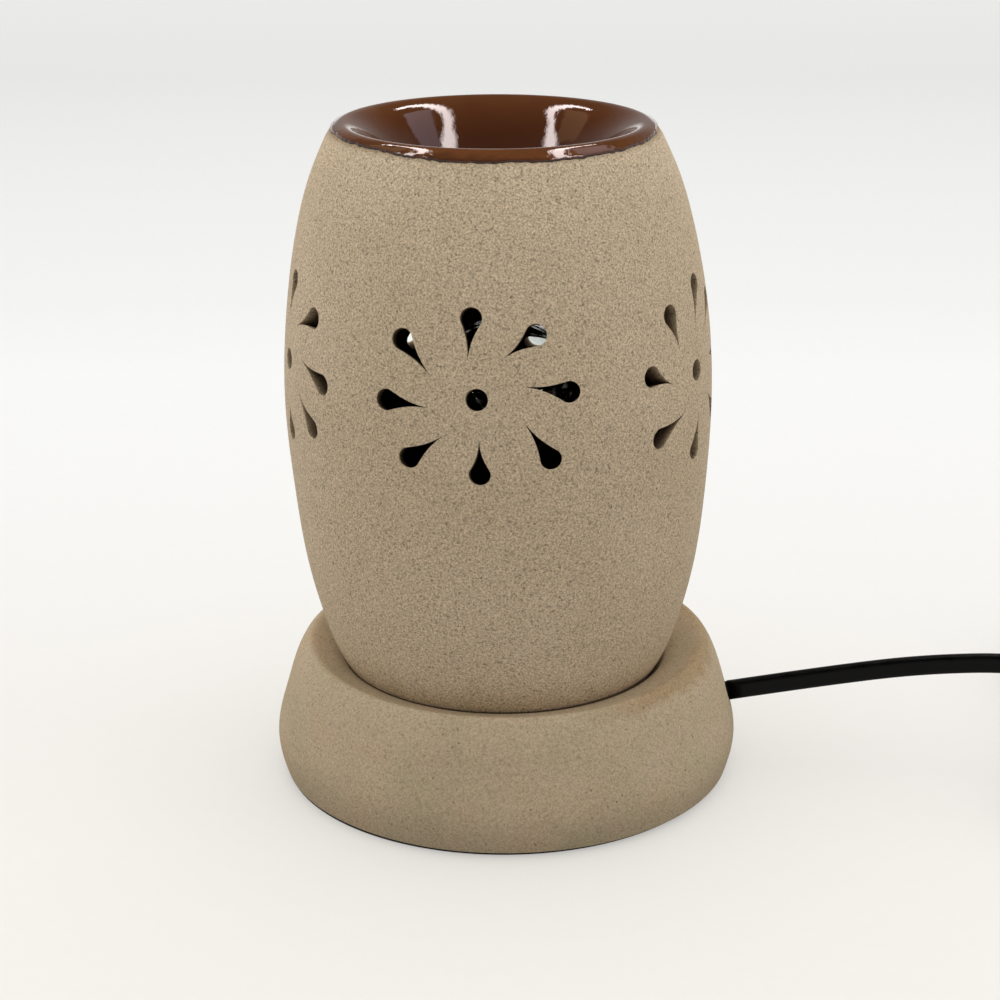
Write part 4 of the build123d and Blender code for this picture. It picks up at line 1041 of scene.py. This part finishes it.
# %% The floor
reach, floor_z = 8.0, -0.0003
corners = reach * np.array([(-1, -1), (1, -1), (1, 1), (-1, 1)])
floor_mesh = bpy.data.meshes.new("floor")
floor_mesh.from_pydata(np.c_[corners, np.full(4, floor_z)].tolist(), [], [(0, 1, 2, 3)])
floor = new_object("floor", floor_mesh)
paper, tree, shader = finish("pale_paper", Roughness=0.9, Specular_IOR_Level=0.1)
place = own_place(tree)
axes = axes_of(tree, place)
away = spread(tree, axes["Y"], -0.3, 1.7)
fibres = spread(tree, noise(tree, place, 0.004, 3.0), 0.3, 0.7, 0.985, 1.0)
paper_tone = ramp(tree, away, [(0.0, "adaba7"), (0.16, "b2b0ac"), (0.34, "cbcbca"), (1.0, "e0e0df")])
paper_tone = mixed(tree, 1.0, paper_tone, fibres, "MULTIPLY")
tree.links.new(paper_tone, shader.inputs["Base Color"])
rays = node(tree, "ShaderNodeLightPath").outputs
seen = maths(tree, "MAXIMUM", rays["Is Camera Ray"], maths(
    tree, "MAXIMUM", rays["Is Glossy Ray"], rays["Is Transmission Ray"],
))
glow = ramp(tree, away, [
    (0.0, "afaca8"), (0.12, "b1afac"), (0.25, "9b9b9b"), (0.40, "7d7d7d"), (0.75, "4c4c4c"),
])
tree.links.new(glow, shader.inputs["Emission Color"])
tree.links.new(seen, shader.inputs["Emission Strength"])
floor.data.materials.append(paper)
print("floor:", 2 * reach, "m across")

# %% Sheets of light
lamp_rise = 0.6  # above the crest of the barrel
lamp_z = crest_z + lamp_rise


def glowing(name, tone, strength, edge):
    """Light of a sheet, brightest along its middle: strength x smooth rise of 1 - |2v - 1| up to edge."""
    material = bpy.data.materials.new(name)
    material.use_nodes = True
    tree = material.node_tree
    tree.nodes.remove(tree.nodes["Principled BSDF"])
    across = maths(tree, "SUBTRACT", maths(tree, "MULTIPLY", map_value(tree), 2.0), 1.0)
    inside = maths(tree, "SUBTRACT", 1.0, maths(tree, "ABSOLUTE", across))
    light = node(tree, "ShaderNodeEmission", Color=linear(tone))
    tree.links.new(spread(tree, inside, 0.0, edge, 0.0, strength), light.inputs["Strength"])
    tree.links.new(light.outputs[0], tree.nodes["Material Output"].inputs["Surface"])
    return material


def light_sheet(name, line, widths, material, height=0.0):
    """Level sheet along a line with a width at each point, all in lamp heights, seen in reflections:
    points of the line, plus and less half the width square to it."""
    line, half = np.asarray(line, float) * lamp_rise, np.asarray(widths, float)[:, None] * lamp_rise / 2
    way = ways_along(line)
    beside_way = np.stack([-way[:, 1], way[:, 0]], -1)
    spots = np.stack([line - half * beside_way, line + half * beside_way], 1).reshape(-1, 2)
    spots = np.c_[spots, np.full(len(spots), lamp_z + height)]
    mesh = bpy.data.meshes.new(name)
    mesh.from_pydata(spots.tolist(), [], grid_faces(len(line), 2))
    index = np.arange(len(spots))
    add_map(mesh, "across", np.stack([index // 2 / (len(line) - 1), index % 2], -1))
    piece = new_object(name, mesh)
    mesh.materials.append(material)
    piece.visible_camera = piece.visible_diffuse = piece.visible_shadow = False
    return piece


# %% The tubes and panels
# Their lines were found by following the bright bars of the photograph back from the glaze.
tube_points, panel_points, panel_rise = 36, 20, 0.02
right_tube = [
    (0.42, 0.98), (0.33, 0.80), (0.305, 0.57), (0.33, 0.36), (0.40, 0.12), (0.635, -0.29), (1.03, -0.70),
    (1.505, -1.13), (1.845, -1.38), (2.15, -1.60),
]
left_tube = [
    (-0.50, 0.90), (-0.38, 0.77), (-0.36, 0.58), (-0.385, 0.40), (-0.46, 0.17), (-0.75, -0.13),
    (-1.215, -0.495), (-1.78, -0.825), (-2.215, -1.07), (-2.60, -1.28),
]
right_panel = [(0.52, 0.55), (0.93, 0.22), (1.36, -0.02), (1.95, -0.32), (2.75, -0.68)]
left_panel = [(-0.56, 0.62), (-0.90, 0.42), (-1.40, 0.18), (-2.00, -0.02), (-2.70, -0.30)]


def hang(name, line, widths, count, material, height=0.0):
    """Light sheet on a smooth line through the points, with the widths evenly spaced along it."""
    spaced = np.interp(np.linspace(0, len(widths) - 1, count), range(len(widths)), widths)
    light_sheet(name, smooth_line(line, count), spaced, material, height)


tube_light = glowing("diffused_tube_light", "fff2f0", 15.0, 0.55)
tube_widths = [0.10, 0.12, 0.14, 0.17, 0.22, 0.36, 0.54, 0.76, 0.92, 1.05]
hang("right_tube", right_tube, tube_widths, tube_points, tube_light)
hang("left_tube", left_tube, tube_widths, tube_points, tube_light)
panel_widths = [0.40, 0.72, 0.98, 1.15, 1.25]
pale_panel = glowing("pale_ceiling_panel", "e9e2f2", 1.35, 0.12)
warm_panel = glowing("warm_ceiling_panel", "f0c89c", 0.9, 0.12)
hang("right_panel", right_panel, panel_widths, panel_points, pale_panel, panel_rise)
hang("left_panel", left_panel, panel_widths, panel_points, warm_panel, panel_rise)
print("tubes and panels at", round(lamp_z, 3), "m")

# %% The soft lamp above
top_place, top_width, top_watts = (0, 0.1, 1.3), 1.4, 4.0
top_light = bpy.data.lights.new("soft_top", "AREA")
top_light.shape, top_light.size, top_light.energy = "DISK", top_width, top_watts
top = new_object("soft_top", top_light)
top.location = top_place
top.visible_glossy = False

# %% The room
# Greys of the walls in front and behind, and of the ceiling in front, behind and overhead, which is only
# seen in reflections
front_grey, back_grey = (0.58, 0.58, 0.565, 1.0), (1.19, 1.19, 1.18, 1.0)
front_dark, back_dark, over_dark = (0.10, 0.10, 0.10, 1.0), (0.36, 0.35, 0.35, 1.0), (0.05, 0.045, 0.04, 1.0)
world = bpy.data.worlds.new("room")
bpy.context.scene.world = world
world.use_nodes = True
tree = world.node_tree
place = node(tree, "ShaderNodeTexCoord").outputs["Generated"]
axes = axes_of(tree, place)
back = spread(tree, axes["Y"], -0.90, 0.25)
room = mixed(tree, back, front_grey, back_grey)
ceiling = mixed(tree, back, front_dark, back_dark)
ceiling = mixed(tree, spread(tree, axes["Z"], 0.25, 0.6), ceiling, over_dark)
mirrored = mixed(tree, spread(tree, axes["Z"], 0.04, 0.14), room, ceiling)
rays = node(tree, "ShaderNodeLightPath").outputs
tree.links.new(mixed(tree, rays["Is Glossy Ray"], room, mirrored), tree.nodes["Background"].inputs["Color"])
tree.nodes["Background"].inputs["Strength"].default_value = 1.0

# %% The end
bpy.context.scene.view_settings.view_transform = "Standard"
